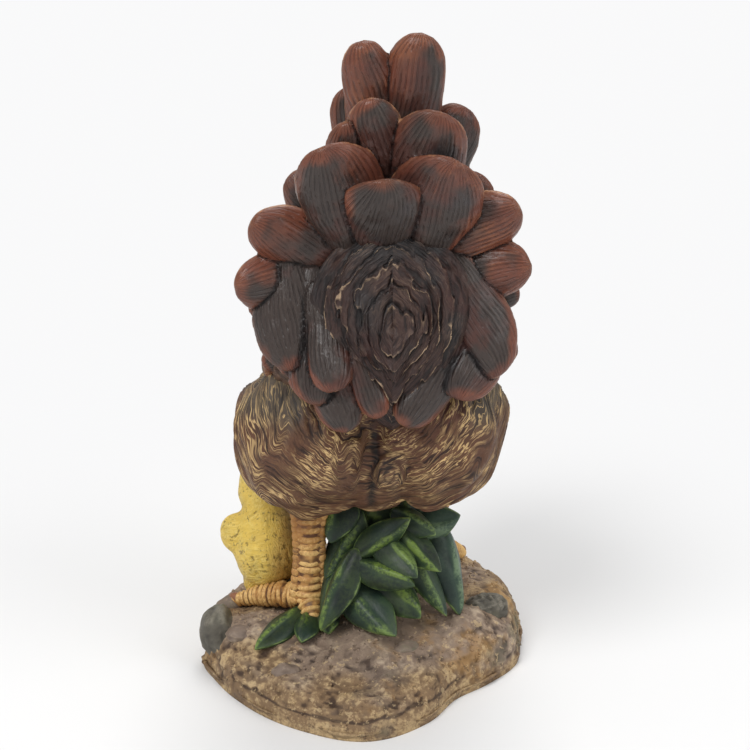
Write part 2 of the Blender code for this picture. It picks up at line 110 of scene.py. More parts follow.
def smooth_noise(points, seed=0):
    """Values from -1 to 1 that change smoothly over about one unit."""
    cells = np.floor(points).astype(np.int64)
    share = points - cells
    share = share * share * (3.0 - 2.0 * share)
    total = np.zeros(points.shape[:-1])
    for corner in range(8):
        step = np.array([corner & 1, corner >> 1 & 1, corner >> 2 & 1])
        weight = np.prod(np.where(step, share, 1.0 - share), axis=-1)
        total += weight * corner_value(cells + step, seed)
    return total


def rough_noise(points, octaves=3, seed=0):
    """Several sizes of noise added up, each half as strong as the last."""
    total = np.zeros(points.shape[:-1])
    for octave in range(octaves):
        total += smooth_noise(points * 2.0**octave + 17.3 * octave, seed + octave) / 2.0**octave
    return total / 1.6


def smooth_step(low, high, value):
    share = np.clip((value - low) / (high - low), 0.0, 1.0)
    return share * share * (3.0 - 2.0 * share)


def ease(way, stops, values):
    """A smooth curve through the values at the stops."""
    stops, values = np.asarray(stops, float), np.asarray(values, float)
    way = np.clip(way, stops[0], stops[-1])
    place = np.clip(np.searchsorted(stops, way, side="right") - 1, 0, len(stops) - 2)
    before, after = np.maximum(place - 1, 0), np.minimum(place + 2, len(stops) - 1)
    step = stops[place + 1] - stops[place]
    share = (way - stops[place]) / step
    rise_in = (values[place + 1] - values[before]) / (stops[place + 1] - stops[before]) * step
    rise_out = (values[after] - values[place]) / (stops[after] - stops[place]) * step
    square, cube = share**2, share**3
    return (
        (2 * cube - 3 * square + 1) * values[place]
        + (cube - 2 * square + share) * rise_in
        + (3 * square - 2 * cube) * values[place + 1]
        + (cube - square) * rise_out
    )


# %% [markdown]
# A piece of the casting is gathered in a Sculpt: points in millimetres, faces, and five values for
# each point that the paint will read. "relief" is how far the carving stands up or cuts in, from -1
# to 1. "edge" is how many millimetres the point is from the rim of its feather or leaf. "tone" mixes
# two palettes. "across" and "along" measure the feather in millimetres, so that fine painted lines
# can follow the way it was combed.

# %% Gather a piece
BOX_SLACK = 2e-5
BOX_LOW, BOX_HIGH = np.array(CAD_BOX[0]) + BOX_SLACK, np.array(CAD_BOX[1]) - BOX_SLACK


class Sculpt:
    def __init__(self):
        self.points, self.quads, self.tris = [], [], []
        self.values = {name: [] for name in ("relief", "edge", "tone", "across", "along")}
        self.count = 0

    def add(self, points, quads, tris, relief=0.0, edge=6.0, tone=0.0, across=0.0, along=0.0):
        self.points.append(points)
        self.quads.append(np.asarray(quads, int).reshape(-1, 4) + self.count)
        self.tris.append(np.asarray(tris, int).reshape(-1, 3) + self.count)
        given = {"relief": relief, "edge": edge, "tone": tone, "across": across, "along": along}
        for name, value in given.items():
            self.values[name].append(np.broadcast_to(np.asarray(value, float), (len(points),)))
        self.count += len(points)

    def mesh(self, name):
        faces = np.concatenate(self.quads).tolist() + np.concatenate(self.tris).tolist()
        made = bpy.data.meshes.new(name)
        made.from_pydata((np.concatenate(self.points) * MM).tolist(), [], faces)
        for value_name, value in self.values.items():
            layer = made.attributes.new(value_name, "FLOAT", "POINT")
            layer.data.foreach_set("value", np.concatenate(value).astype(np.float32))
        return made


def read_vectors(mesh, kind="co"):
    values = np.empty(len(mesh.vertices) * 3)
    mesh.vertices.foreach_get(kind, values)
    return values.reshape(-1, 3)


def place(mesh, material):
    """Puts a finished mesh in the scene as a painted part of the casting, kept inside its box."""
    mesh.vertices.foreach_set("co", np.clip(read_vectors(mesh), BOX_LOW, BOX_HIGH).ravel())
    mesh.polygons.foreach_set("use_smooth", [True] * len(mesh.polygons))
    mesh.update()
    mesh.materials.clear()
    mesh.materials.append(material)
    piece = put_in_scene(mesh.name, mesh)
    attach(piece, "root")
    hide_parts("hen_figurine")
    print(piece.name, sum(len(face.vertices) - 2 for face in mesh.polygons), "triangles")
    return piece

# %% [markdown]
# Feathers and leaves are petals: long, rounded or pointed, domed across, thick at the rim. One rule
# says where a petal's surface lies, and the same rule can be read backwards: for any point in
# space it tells how far along the petal the point is, how far from the rim, and how far from the
# surface. Reading it backwards lets the paint and the barb lines follow a feather even after many
# feathers have been melted into one skin.

# %% The petal rule
def unit(vector):
    return vector / np.linalg.norm(vector)


class Petal:
    def __init__(self, root, tip, facing, width, thick, camber=0.0, curl=0.0, pointed=False, seed=0,
                 dark=0.0):
        self.root, self.tip = np.asarray(root, float), np.asarray(tip, float)
        self.length = np.linalg.norm(self.tip - self.root)
        self.axis = (self.tip - self.root) / self.length
        normal = np.asarray(facing, float)
        self.normal = unit(normal - self.axis * (normal @ self.axis))
        self.side = np.cross(self.normal, self.axis)
        self.width, self.thick, self.camber, self.curl = width, thick, camber, curl
        self.pointed, self.seed, self.dark = pointed, seed, dark
        self.round_end = min(0.5, 0.72 * width / self.length)
        self.ends = [self.root + self.normal * camber, self.tip + self.normal * (camber + curl)]

    def outline(self, way):
        """Share of the half width, and share of the thickness, at this share of the length."""
        way = np.clip(way, 0.0, 1.0)
        if self.pointed:
            broad = np.sin(math.pi * way**0.8) ** 0.8
            deep = np.sqrt(np.maximum(1.0 - np.abs(2.0 * way - 1.0) ** 4, 0.0))
            deep = deep * (0.45 + 0.55 * broad)
        else:
            past = np.maximum(self.round_end - way, way - 1.0 + self.round_end)
            end = np.maximum(past, 0.0) / self.round_end
            broad = (0.6 + 0.4 * np.minimum(way / 0.6, 1.0)) * np.sqrt(np.maximum(1.0 - end**2, 0.0))
            deep = np.sqrt(np.maximum(1.0 - end**3, 0.0))
        return broad, deep

    def surface(self, even, out, way):
        """Points for even, -1 to 1 across, out, 1 on the face and -1 on the back, and way, 0 to 1."""
        broad, deep = self.outline(way)
        across = even * broad
        lift = self.camber * (1.0 - across**2) + self.curl * way**2
        through = out * deep * self.thick / 2.0 + lift
        return (
            self.root + self.side * (across * self.width / 2.0)[..., None]
            + self.axis * (way * self.length)[..., None] + self.normal * through[..., None]
        )

    def read(self, points):
        """Across and along, distance from the rim, and distance from the surface, in millimetres."""
        away = points - self.root
        x, y, n = away @ self.side, away @ self.axis, away @ self.normal
        way = np.clip(y / self.length, 0.0, 1.0)
        broad, deep = self.outline(way)
        half = np.maximum(broad * self.width / 2.0, 0.3)
        even = x / half
        flat = np.minimum(np.abs(x) / (self.width / 2.0), 1.0)
        lift = self.camber * (1.0 - flat**2) + self.curl * way**2
        shell = np.sqrt(np.maximum(1.0 - even**2, 0.0)) * deep * self.thick / 2.0
        beyond = np.maximum(np.abs(x) - half, 0.0)
        beyond = beyond + np.maximum(y - self.length, 0.0) + np.maximum(-y, 0.0)
        gap = np.minimum(np.abs(n - lift - shell), np.abs(n - lift + shell)) + beyond
        rim = np.minimum((1.0 - np.abs(even)) * half, (self.length - y) * 0.8)
        return even * self.width / 2.0, y, rim, gap


def shell_faces(rings, around):
    """Quads between the rings and fans at both ends, for a closed shell."""
    ring, spot = np.meshgrid(np.arange(rings - 1) * around, np.arange(around), indexing="ij")
    after = (spot + 1) % around
    quads = np.stack((ring + spot, ring + after, ring + around + after, ring + around + spot), -1)
    quads = quads.reshape(-1, 4)
    first, last = rings * around, rings * around + 1
    spot = np.arange(around)
    after = (spot + 1) % around
    low = xyz(np.full(around, first), after, spot)
    top = (rings - 1) * around
    high = xyz(np.full(around, last), top + spot, top + after)
    return quads, np.concatenate([low, high])


def petal_grid(around, rings, share_in_front=0.72):
    """Even, out and way for a closed petal with most of its points on the face."""
    front = int(around * share_in_front)
    turn = np.concatenate([
        np.linspace(0.0, math.pi, front, endpoint=False),
        np.linspace(math.pi, 2 * math.pi, around - front, endpoint=False),
    ])
    spread = 0.45 * np.cos(turn) + 0.55 * (1.0 - 2.0 * turn / math.pi)
    flat = np.where(turn < math.pi, spread, np.cos(turn))
    out = np.where(turn < math.pi, np.sqrt(np.maximum(1.0 - flat**2, 0.0)), np.sin(turn))
    lay = np.linspace(0.0, 1.0, rings + 2)[1:-1]
    lay = 0.25 * (1.0 - np.cos(math.pi * lay)) + lay * 0.5
    way, even = np.meshgrid(lay, flat, indexing="ij")
    return even, np.broadcast_to(out, way.shape), way


# %% [markdown]
# A leaf stays a shell of its own: the petal's grid of points, with a ragged edge, a shallow midrib
# and a cheek that stands up on one side of it. Besides the relief, each point keeps its place
# across and along, so that the painter's fine lines can follow it.

# %% A single blade
def with_ends(values, first=0.0, last=0.0):
    """The values of a grid, and after them those of its two end points."""
    return np.append(values.ravel(), [first, last])


def blade(sculpt, petal, bulge, midrib, ragged, ragged_pitch, tone, around=60, rings=32):
    even, out, way = petal_grid(around, rings)
    broad = petal.outline(way)[0]
    spots = xyz(way * petal.length / ragged_pitch, np.sign(even) * 3.0, float(petal.seed))
    even = even * (1.0 + ragged * rough_noise(spots, 3, petal.seed))
    x, y = even * petal.width / 2.0, way * petal.length
    face = np.clip(out * 3.0, 0.0, 1.0)
    edge = np.minimum((1.0 - np.abs(even)) * broad * petal.width / 2.0, (1.0 - way) * petal.length * 0.8)
    edge = np.where(out > 0.0, edge, 6.0)
    spots = xyz(y / 6.0, even * broad * petal.width / 10.0, petal.seed + 3.0)
    swell = smooth_noise(spots, petal.seed + 9)
    away = np.abs(even * broad) * petal.width / 2.0
    fold = np.exp(-((away / (petal.width * 0.07)) ** 2))
    side = np.sign(math.sin(petal.seed * 1.7))
    cheek = np.exp(-(((even * broad * side - 0.3) / 0.3) ** 2))
    push = bulge * swell * face + face * (1.2 * midrib * cheek - 0.25 * midrib * fold)
    relief = 0.5 * swell - 0.6 + 1.7 * cheek * smooth_step(0.05, 0.4, way) - 0.1 * fold
    points = petal.surface(even, out, way) + petal.normal * push[..., None]
    quads, tris = shell_faces(rings, around)
    sculpt.add(
        np.concatenate([points.reshape(-1, 3), petal.ends]), quads, tris, tone=tone,
        relief=with_ends(np.clip(relief, -1.0, 1.0)), edge=with_ends(edge, 3.0), across=with_ends(x),
        along=with_ends(y, 0.0, petal.length) + petal.seed * 37.0,
    )

# %% [markdown]
# Bodies are many round lumps pressed together, as clay is. Each lump is a stretched ball or a tube
# along a curve. Blender's Remesh then lays one even skin over the lump, and the fine carving is cut
# into that skin afterwards, because a skin of equal small squares carves evenly in all directions.

# %% Lumps and skins
def baked(guide):
    """The object's shape with all its modifiers worked in, as a plain mesh."""
    bpy.context.view_layer.update()
    graph = bpy.context.evaluated_depsgraph_get()
    return bpy.data.meshes.new_from_object(guide.evaluated_get(graph))


def bone(points, radii, scale=1.0):
    """A smooth curve through the points, which are in millimetres, with a radius at each."""
    curve = bpy.data.curves.new("bone", "CURVE")
    curve.dimensions = "3D"
    curve.resolution_u = 12
    spline = curve.splines.new("BEZIER")
    spline.bezier_points.add(len(points) - 1)
    for knot, point, radius in zip(spline.bezier_points, points, radii):
        knot.co = Vector(point) * MM
        knot.radius = radius * scale
        knot.handle_left_type = knot.handle_right_type = "AUTO"
    return put_in_scene("bone", curve)


class Lump:
    def __init__(self):
        self.form = bmesh.new()

    def take(self, form):
        mesh = bpy.data.meshes.new("form")
        form.to_mesh(mesh)
        form.free()
        self.form.from_mesh(mesh)
        bpy.data.meshes.remove(mesh)

    def press(self, mesh, weld=False):
        """Adds a closed mesh to the lump, with its faces turned outwards."""
        form = bmesh.new()
        form.from_mesh(mesh)
        bpy.data.meshes.remove(mesh)
        if weld:
            bmesh.ops.remove_doubles(form, verts=form.verts, dist=0.00001)
        bmesh.ops.recalc_face_normals(form, faces=form.faces)
        self.take(form)

    def ball(self, rule, segments=48, rings=32):
        """A round ball whose points are moved by the rule."""
        form = bmesh.new()
        bmesh.ops.create_uvsphere(form, u_segments=segments, v_segments=rings, radius=1.0)
        for vert in form.verts:
            vert.co = Vector(rule(vert.co)) * MM
        self.take(form)

    def blob(self, spot, sizes, tip=0.0):
        pose = Matrix.Rotation(math.radians(tip), 3, "X")
        middle = Vector(spot)
        self.ball(lambda co: middle + pose @ Vector([co[i] * sizes[i] for i in range(3)]))

    def limb(self, points, radii):
        guide = bone(points, radii)
        guide.data.bevel_depth = MM
        guide.data.bevel_resolution = 6
        guide.data.use_fill_caps = True
        self.press(baked(guide), weld=True)
        bpy.data.objects.remove(guide, do_unlink=True)
        self.blob(points[-1], (radii[-1],) * 3)

    def petal(self, petal, around=56, rings=40):
        points = petal.surface(*petal_grid(around, rings, 0.5)).reshape(-1, 3)
        quads, tris = shell_faces(rings, around)
        mesh = bpy.data.meshes.new("petal")
        points = (np.concatenate([points, petal.ends]) * MM).tolist()
        mesh.from_pydata(points, [], quads.tolist() + tris.tolist())
        self.press(mesh)

    def barrel(self, stations):
        """A ball pulled through stations of (y, x, z, half width, half height)."""
        stops = np.linspace(0.0, 1.0, len(stations))
        columns = list(zip(*stations))

        def rule(co):
            way = math.acos(max(-1.0, min(1.0, -co.z))) / math.pi
            y, x, z, wide, tall = (float(ease(way, stops, column)) for column in columns)
            ring = math.hypot(co.x, co.y)
            if ring < 1e-6:
                return (x, y, z)
            return (x - co.x / ring * max(wide, 0.0), y, z + co.y / ring * max(tall, 0.0))

        self.ball(rule, 64, 40)

    def skin(self, grain, rounds=2):
        """One even skin over the lump: points and outward directions in millimetres, and faces."""
        mesh = bpy.data.meshes.new("skin")
        self.form.to_mesh(mesh)
        self.form.free()
        guide = put_in_scene("skin", mesh)
        remesh = guide.modifiers.new("Skin", "REMESH")
        remesh.mode = "VOXEL"
        remesh.voxel_size = grain * MM
        soften = guide.modifiers.new("Soften", "SMOOTH")
        soften.iterations = rounds
        made = baked(guide)
        bpy.data.objects.remove(guide, do_unlink=True)
        points, normals = read_vectors(made) / MM, read_vectors(made, "normal")
        faces = [list(face.vertices) for face in made.polygons]
        bpy.data.meshes.remove(made)
        quads, tris = ([row for row in faces if len(row) == count] for count in (4, 3))
        return points, normals, quads, tris


def carved(name, skin, push, **values):
    """A finished mesh: the skin, pushed in and out along its own directions."""
    points, normals, quads, tris = skin
    sculpt = Sculpt()
    sculpt.add(points + normals * push[:, None], quads, tris, **values)
    return sculpt.mesh(name)

# %% [markdown]
# Paint comes in few colours. Each part of the hen has a deep colour that ran into the grooves, a
# middle colour, and a light colour that a nearly dry brush left on the ridges. The same recipe
# serves every part, so it is one node group with named inputs, placed in each material with that
# part's own colours.

# %% The painter's recipe as a node group
def colour(red, green, blue):
    """A colour as read on screen, from 0 to 255, turned into the linear values Blender keeps."""
    def linear(value):
        value /= 255.0
        return value / 12.92 if value <= 0.04045 else ((value + 0.055) / 1.055) ** 2.4

    return (linear(red), linear(green), linear(blue), 1.0)


class Wires:
    """Short words for building a node tree. A value is a constant or another node's output."""

    def __init__(self, tree):
        self.tree = tree

    def plug(self, socket, value):
        if isinstance(value, bpy.types.NodeSocket):
            self.tree.links.new(value, socket)
        else:
            socket.default_value = value

    def node(self, kind, inputs=(), **settings):
        node = self.tree.nodes.new(kind)
        for setting, value in settings.items():
            setattr(node, setting, value)
        for name, value in dict(inputs).items():
            self.plug(node.inputs[name], value)
        return node

    def maths(self, operation, *values, clamp=False):
        return self.node("ShaderNodeMath", enumerate(values), operation=operation, use_clamp=clamp).outputs[0]

    def times(self, first, second, clamp=False):
        return self.maths("MULTIPLY", first, second, clamp=clamp)

    def plus(self, first, second, clamp=False):
        return self.maths("ADD", first, second, clamp=clamp)

    def less(self, first, second):
        return self.maths("SUBTRACT", first, second)

    def mix(self, share, first, second, way="MIX"):
        inputs = {0: share, 6: first, 7: second}
        return self.node("ShaderNodeMix", inputs, data_type="RGBA", blend_type=way).outputs[2]

    def step(self, value, low, high):
        """0 below low, 1 above high, smooth between."""
        inputs = {"Value": value, "From Min": low, "From Max": high}
        return self.node("ShaderNodeMapRange", inputs, interpolation_type="SMOOTHSTEP").outputs["Result"]

    def speckle(self, spot, scale, detail=3.0, rough=0.6):
        inputs = {"Vector": spot, "Scale": scale, "Detail": detail, "Roughness": rough}
        return self.node("ShaderNodeTexNoise", inputs).outputs["Fac"]

    def attribute(self, name):
        return self.node("ShaderNodeAttribute", attribute_name=name).outputs["Fac"]


def new_group(kind, name, inputs, outputs):
    """An empty node group with its named inputs and outputs."""
    group = bpy.data.node_groups.new(name, kind)
    for label, shape, value in inputs:
        socket = group.interface.new_socket(label, in_out="INPUT", socket_type="NodeSocket" + shape)
        if value is not None:
            socket.default_value = value
    for label, shape in outputs:
        group.interface.new_socket(label, in_out="OUTPUT", socket_type="NodeSocket" + shape)
    given, result = group.nodes.new("NodeGroupInput"), group.nodes.new("NodeGroupOutput")
    return Wires(group), given.outputs, result.inputs


def build_dry_brush():
    w, given, result = new_group(
        "ShaderNodeTree", "dry_brush",
        (
            ("Vector", "Vector", (0.0, 0.0, 0.0)), ("Relief", "Float", 0.0),
            ("Deep", "Color", (0.02, 0.02, 0.02, 1.0)), ("Middle", "Color", (0.1, 0.1, 0.1, 1.0)),
            ("Light", "Color", (0.4, 0.4, 0.4, 1.0)), ("Wash", "Float", 0.9), ("Brush", "Float", 0.6),
        ),
        (("Color", "Color"), ("Grain", "Float")),
    )
    blotch = w.speckle(given["Vector"], 90.0)
    grit = w.speckle(given["Vector"], 900.0, 4.0, 0.7)
    bump_out = w.step(w.node("ShaderNodeNewGeometry").outputs["Pointiness"], 0.47, 0.58)
    sunk = w.less(1.0, w.step(given["Relief"], -0.95, -0.05))
    dulled = w.mix(0.55, given["Middle"], given["Deep"])
    toned = w.mix(w.times(w.step(blotch, 0.35, 0.68), 0.45), given["Middle"], dulled)
    washed = w.mix(w.times(sunk, given["Wash"], clamp=True), toned, given["Deep"])
    raised = w.step(given["Relief"], -0.1, 0.5)
    broken = w.step(w.plus(w.times(grit, 0.55), w.times(blotch, 0.6)), 0.46, 0.68)
    catch = w.plus(w.times(raised, 0.7), w.times(bump_out, 0.45), clamp=True)
    brushed = w.times(w.times(catch, broken), given["Brush"], clamp=True)
    w.plug(result["Color"], w.mix(brushed, washed, given["Light"]))
    w.plug(result["Grain"], grit)
    return w.tree


DRY_BRUSH = build_dry_brush()
print("built node group", DRY_BRUSH.name)

# %% [markdown]
# The finest combed lines are too fine to carve, so they are painted and bumped. "Ridge" is noise
# stretched along the comb, narrow across and long along. "Thread" is the thin line where that noise
# crosses its middle: such lines meet and part as combed hair does. "Barb" is an even line in step
# with the barbs that are carved in the feathers. This too is one node group, because feathers,
# fluff and down all use it with their own pitch.

# %% Combed lines as a node group
BARB_PITCH = 1.55


def build_combed_lines():
    w, given, result = new_group(
        "ShaderNodeTree", "combed_lines",
        (
            ("Across", "Float", 0.0), ("Along", "Float", 0.0), ("Pitch", "Float", 1.0),
            ("Length", "Float", 8.0), ("Waver", "Float", 0.6),
        ),
        (("Ridge", "Float"), ("Thread", "Float"), ("Barb", "Float")),
    )
    slow = {"X": w.times(given["Across"], 0.22), "Y": w.times(given["Along"], 0.16)}
    sway = w.speckle(w.node("ShaderNodeCombineXYZ", slow).outputs[0], 1.0, 2.0)
    swayed = w.plus(given["Across"], w.times(w.less(sway, 0.5), w.times(given["Waver"], 5.0)))
    fine = {
        "X": w.maths("DIVIDE", swayed, given["Pitch"]),
        "Y": w.maths("DIVIDE", given["Along"], given["Length"]),
    }
    strands = w.speckle(w.node("ShaderNodeCombineXYZ", fine).outputs[0], 1.0, 2.0, 0.55)
    w.plug(result["Ridge"], w.step(strands, 0.34, 0.66))
    off_middle = w.maths("ABSOLUTE", w.less(strands, 0.5))
    w.plug(result["Thread"], w.less(1.0, w.step(off_middle, 0.012, 0.05)))
    wave = w.maths("COSINE", w.times(swayed, 2.0 * math.pi / BARB_PITCH))
    cut = w.step(w.times(wave, -1.0), 0.2, 0.9)
    w.plug(result["Barb"], w.times(cut, w.step(sway, 0.4, 0.52)))
    return w.tree


COMBED_LINES = build_combed_lines()
print("built node group", COMBED_LINES.name)

# %% [markdown]
# A painted material reads the values from the sculpture. Two palettes are mixed by the tone, a rim
# colour goes on where the brush ran along the edge, and a broken hairline of light paint sits on
# the very edge, where a hand-painted piece always catches some.

# %% Make a painted finish
BARB_SHADE = (0.42, 0.4, 0.4, 1.0)


def painted(name, palette, other=None, rim=None, rim_wide=1.6, rim_share=0.6, hair=None, wash=0.9, brush=0.6,
            gloss=0.55, grain=0.25, patches=(), coat=0.0, comb=None, comb_share=0.6, thread=None,
            thread_share=0.7, waver=0.6, barb_share=0.0):
    """palette and other are (deep, middle, light), comb is (pitch, length) in millimetres.

    Colours are given as read on screen, from 0 to 255."""
    material = bpy.data.materials.new(name)
    material.use_nodes = True
    w = Wires(material.node_tree)
    shader = w.tree.nodes["Principled BSDF"]
    spot = w.node("ShaderNodeTexCoord").outputs["Object"]
    relief, edge, tone = (w.attribute(value) for value in ("relief", "edge", "tone"))
    carving = relief
    if comb:
        lines = w.node("ShaderNodeGroup", {
            "Across": w.attribute("across"), "Along": w.attribute("along"),
            "Pitch": comb[0], "Length": comb[1], "Waver": waver,
        }, node_tree=COMBED_LINES).outputs
        ridge = w.maths("MULTIPLY_ADD", lines["Ridge"], 2.0 * comb_share, -comb_share)
        relief = w.plus(w.times(relief, 1.0 - 0.35 * comb_share), ridge)

    def brushwork(colours):
        deep, middle, light = (colour(*value) for value in colours)
        return w.node("ShaderNodeGroup", {
            "Vector": spot, "Relief": relief, "Deep": deep, "Middle": middle, "Light": light,
            "Wash": wash, "Brush": brush,
        }, node_tree=DRY_BRUSH).outputs

    first = brushwork(palette)
    finish = first["Color"]
    if other:
        finish = w.mix(w.step(tone, 0.15, 0.85), finish, brushwork(other)["Color"])
    for patch_colour, scale, low, high, share in patches:
        mask = w.step(w.speckle(spot, scale, 4.0, 0.65), low, high)
        finish = w.mix(w.times(mask, share), finish, colour(*patch_colour))
    if thread:
        patchy = w.step(w.speckle(spot, 75.0), 0.36, 0.6)
        laid = w.times(w.times(lines["Thread"], patchy), w.step(carving, -0.75, 0.25))
        finish = w.mix(w.times(laid, thread_share, clamp=True), finish, colour(*thread))
    if barb_share:
        deeper = w.mix(1.0, finish, BARB_SHADE, "MULTIPLY")
        finish = w.mix(w.times(lines["Barb"], barb_share), finish, deeper)
    grit = w.speckle(spot, 330.0)
    if rim:
        reach = w.plus(edge, w.maths("MULTIPLY_ADD", grit, 2.4, -1.2))
        band = w.less(1.0, w.step(reach, 0.0, rim_wide * 1.6))
        finish = w.mix(w.times(band, rim_share, clamp=True), finish, colour(*rim))
    if hair:
        reach = w.plus(edge, w.maths("MULTIPLY_ADD", grit, 1.2, -0.55))
        line = w.less(1.0, w.step(reach, 0.1, 0.45))
        broken = w.step(w.speckle(spot, 120.0), 0.42, 0.6)
        finish = w.mix(w.times(w.times(line, broken), 0.8, clamp=True), finish, colour(*hair))
    w.plug(shader.inputs["Base Color"], finish)
    shader.inputs["Metallic"].default_value = 0.0
    shader.inputs["Specular IOR Level"].default_value = 0.35
    shader.inputs["Coat Weight"].default_value = coat
    rough = w.maths("MULTIPLY_ADD", first["Grain"], 0.3, gloss - 0.15, clamp=True)
    w.plug(shader.inputs["Roughness"], rough)
    bump = w.node("ShaderNodeBump", {"Strength": grain, "Distance": 0.0005, "Height": first["Grain"]})
    if comb:
        height = lines["Ridge"]
        if barb_share:
            height = w.less(w.times(height, 0.6), lines["Barb"])
        furrow = w.node("ShaderNodeBump", {"Strength": 0.75, "Distance": 0.0003, "Height": height})
        w.plug(bump.inputs["Normal"], furrow.outputs["Normal"])
    w.plug(shader.inputs["Normal"], bump.outputs["Normal"])
    return material

# %% [markdown]
# The mound is earth: crumbly on the side, trodden flatter on top, with a smooth lip along the front
# where the mould closed. It is one closed round skin from the flat underside up to the crown. Four
# sizes of noise push the skin in and out along its own slope, the smaller the finer.

# %% Shape of the mound
MOUND_WIDE = 114.0
MOUND_DEEP = 130.0
EARTH_TOP = 21.0
OUTLINE = (
    (0, 0.991), (15, 1.025), (28.7, 1.035), (43.2, 1.051), (54.5, 1.065), (73, 1.026),
    (90, 0.995), (112.5, 0.986), (132.7, 0.976), (150.3, 0.948), (168.6, 0.951), (181.8, 0.989),
    (193.2, 1.01), (203.2, 0.978), (224.2, 0.95), (248.6, 0.961), (272.3, 0.996), (294.7, 0.903),
    (312.7, 0.806), (331.3, 0.874), (346.8, 0.966),
)
MOUND_WAY = (0.0, 0.16, 0.30, 0.42, 0.54, 0.66, 0.80, 1.0)
MOUND_REACH = (0.0, 0.955, 0.985, 0.98, 0.955, 0.89, 0.69, 0.0)
MOUND_HEIGHT = (-4.0, -4.0, 1.5, 6.0, 11.0, 15.5, 18.6, EARTH_TOP)


def reach_of_mound(angle):
    degrees = [row[0] for row in OUTLINE]
    reaches = [row[1] for row in OUTLINE]
    stops = [degrees[-1] - 360.0, *degrees, 360.0, 360.0 + degrees[1]]
    values = [reaches[-1], *reaches, reaches[0], reaches[1]]
    return ease(np.asarray(angle) % 360.0, stops, values)


def front_slope(y):
    return 1.0 - 0.42 * np.clip(-y / (MOUND_DEEP / 2.0) * 1.3 - 0.24, 0.0, 1.0)


def earth_height(x, y):
    across, along = x / (MOUND_WIDE / 2.0), y / (MOUND_DEEP / 2.0)
    share = np.hypot(across, along) / reach_of_mound(np.degrees(np.arctan2(along, across)))
    return ease(share, MOUND_REACH[:1:-1], MOUND_HEIGHT[:1:-1]) * front_slope(y)


print("earth under the left foot", round(float(earth_height(-18.5, -11.0)), 1), "mm high")

# %% [markdown]
# The skin of the mound is a grid of rings. The coarse clods come first, and then the finer lumps,
# crumbs and pits are pushed in and out along the slope. Two places stay smoother: the lip along the
# front, and the top round the feet, where the earth is trodden.

# %% Skin of the mound
CLOD_PITCH = 13.0
CLOD_DEEP = 3.2


def grid_normals(points):
    """Outward directions of a grid of points, rings by around."""
    along = np.gradient(points, axis=0)
    padded = np.concatenate([points[:, -1:], points, points[:, :1]], axis=1)
    across = (padded[:, 2:] - padded[:, :-2]) / 2.0
    normals = np.cross(across, along)
    return normals / np.maximum(np.linalg.norm(normals, axis=-1, keepdims=True), 1e-9)


def slow_noise(points):
    """Blender's own noise at each point, for the coarse forms."""
    return np.array([noise.noise(Vector(spot)) for spot in points.reshape(-1, 3)]).reshape(points.shape[:-1])


def mound_skin(around=360, rings=130):
    way = np.linspace(0.27, 0.995, rings) ** 0.95
    turn = np.linspace(0.0, 360.0, around, endpoint=False)
    way, turn = np.meshgrid(way, turn, indexing="ij")
    reach = reach_of_mound(turn) * ease(way, MOUND_WAY, MOUND_REACH)
    height = ease(way, MOUND_WAY, MOUND_HEIGHT)
    height = height - height[0, 0] * smooth_step(0.4, 0.2, way)
    x = reach * np.cos(np.radians(turn)) * MOUND_WIDE / 2.0
    y = reach * np.sin(np.radians(turn)) * MOUND_DEEP / 2.0
    high = height > 3.0
    height = np.where(high, height * front_slope(y), height)
    clods = CLOD_DEEP * slow_noise(xyz(x, y, height) / CLOD_PITCH)
    height = np.where(high, height + clods, height)
    points = xyz(x, y, height)

    front = smooth_step(-0.5, -0.85, np.sin(np.radians(turn)))
    lip = smooth_step(7.5, 3.5, height) * front
    near = np.hypot((x - 6.0) / 26.0, (y + 8.0) / 24.0)
    trodden = smooth_step(1.5, 0.9, near)
    rough = (1.0 - 0.85 * lip) * (1.0 - 0.7 * trodden)
    side = smooth_step(0.9, 0.55, grid_normals(points)[..., 2])
    lumps = rough_noise(points / 9.0, 2, 3)
    clods = np.abs(rough_noise(points / 4.6, 2, 11))
    crumbs = rough_noise(points / 1.9, 2, 21)
    pits = smooth_step(0.5, 0.8, smooth_noise(points / 2.4, 31))
    ledge = smooth_noise(xyz(turn / 19.0, height / 3.6, 0.0), 37)
    push = 0.5 * lumps - 0.8 * clods + 0.42 * crumbs - 0.45 * pits + 0.45 * ledge * side * (1.0 - lip)
    push = push * rough * smooth_step(0.0, 2.0, height) - 0.2 * smooth_step(0.0, 1.0, height)
    points = points + grid_normals(points) * push[..., None]
    points[..., 2] = np.maximum(points[..., 2], 0.0)
    points[0, :, 2] = 0.0
    crack = np.exp(-(((height - 6.6 - 1.2 * smooth_noise(points / 7.0, 33)) / 0.45) ** 2))
    relief = np.clip(1.4 * crumbs + 0.6 * lumps - 1.4 * clods - 0.9 * pits + 0.45, -1.0, 1.0)
    relief = relief * rough + 0.45 * lip - 1.4 * crack * front
    quads, tris = shell_faces(rings, around)
    ends = [(0.0, 0.0, 0.0), (0.0, 0.0, float(points[-1, :, 2].mean()))]
    points = np.concatenate([points.reshape(-1, 3), ends])
    blotch = rough_noise(xyz(x / 17.0, y / 17.0, height / 9.0), 2, 39)
    tone = np.clip(0.25 + 0.35 * side + 0.5 * lip - 0.5 * trodden + 1.1 * blotch, 0.0, 1.0)
    earth = Sculpt()
    earth.add(points, quads, tris, relief=with_ends(relief), tone=with_ends(tone))
    return earth.mesh("earth_mound")


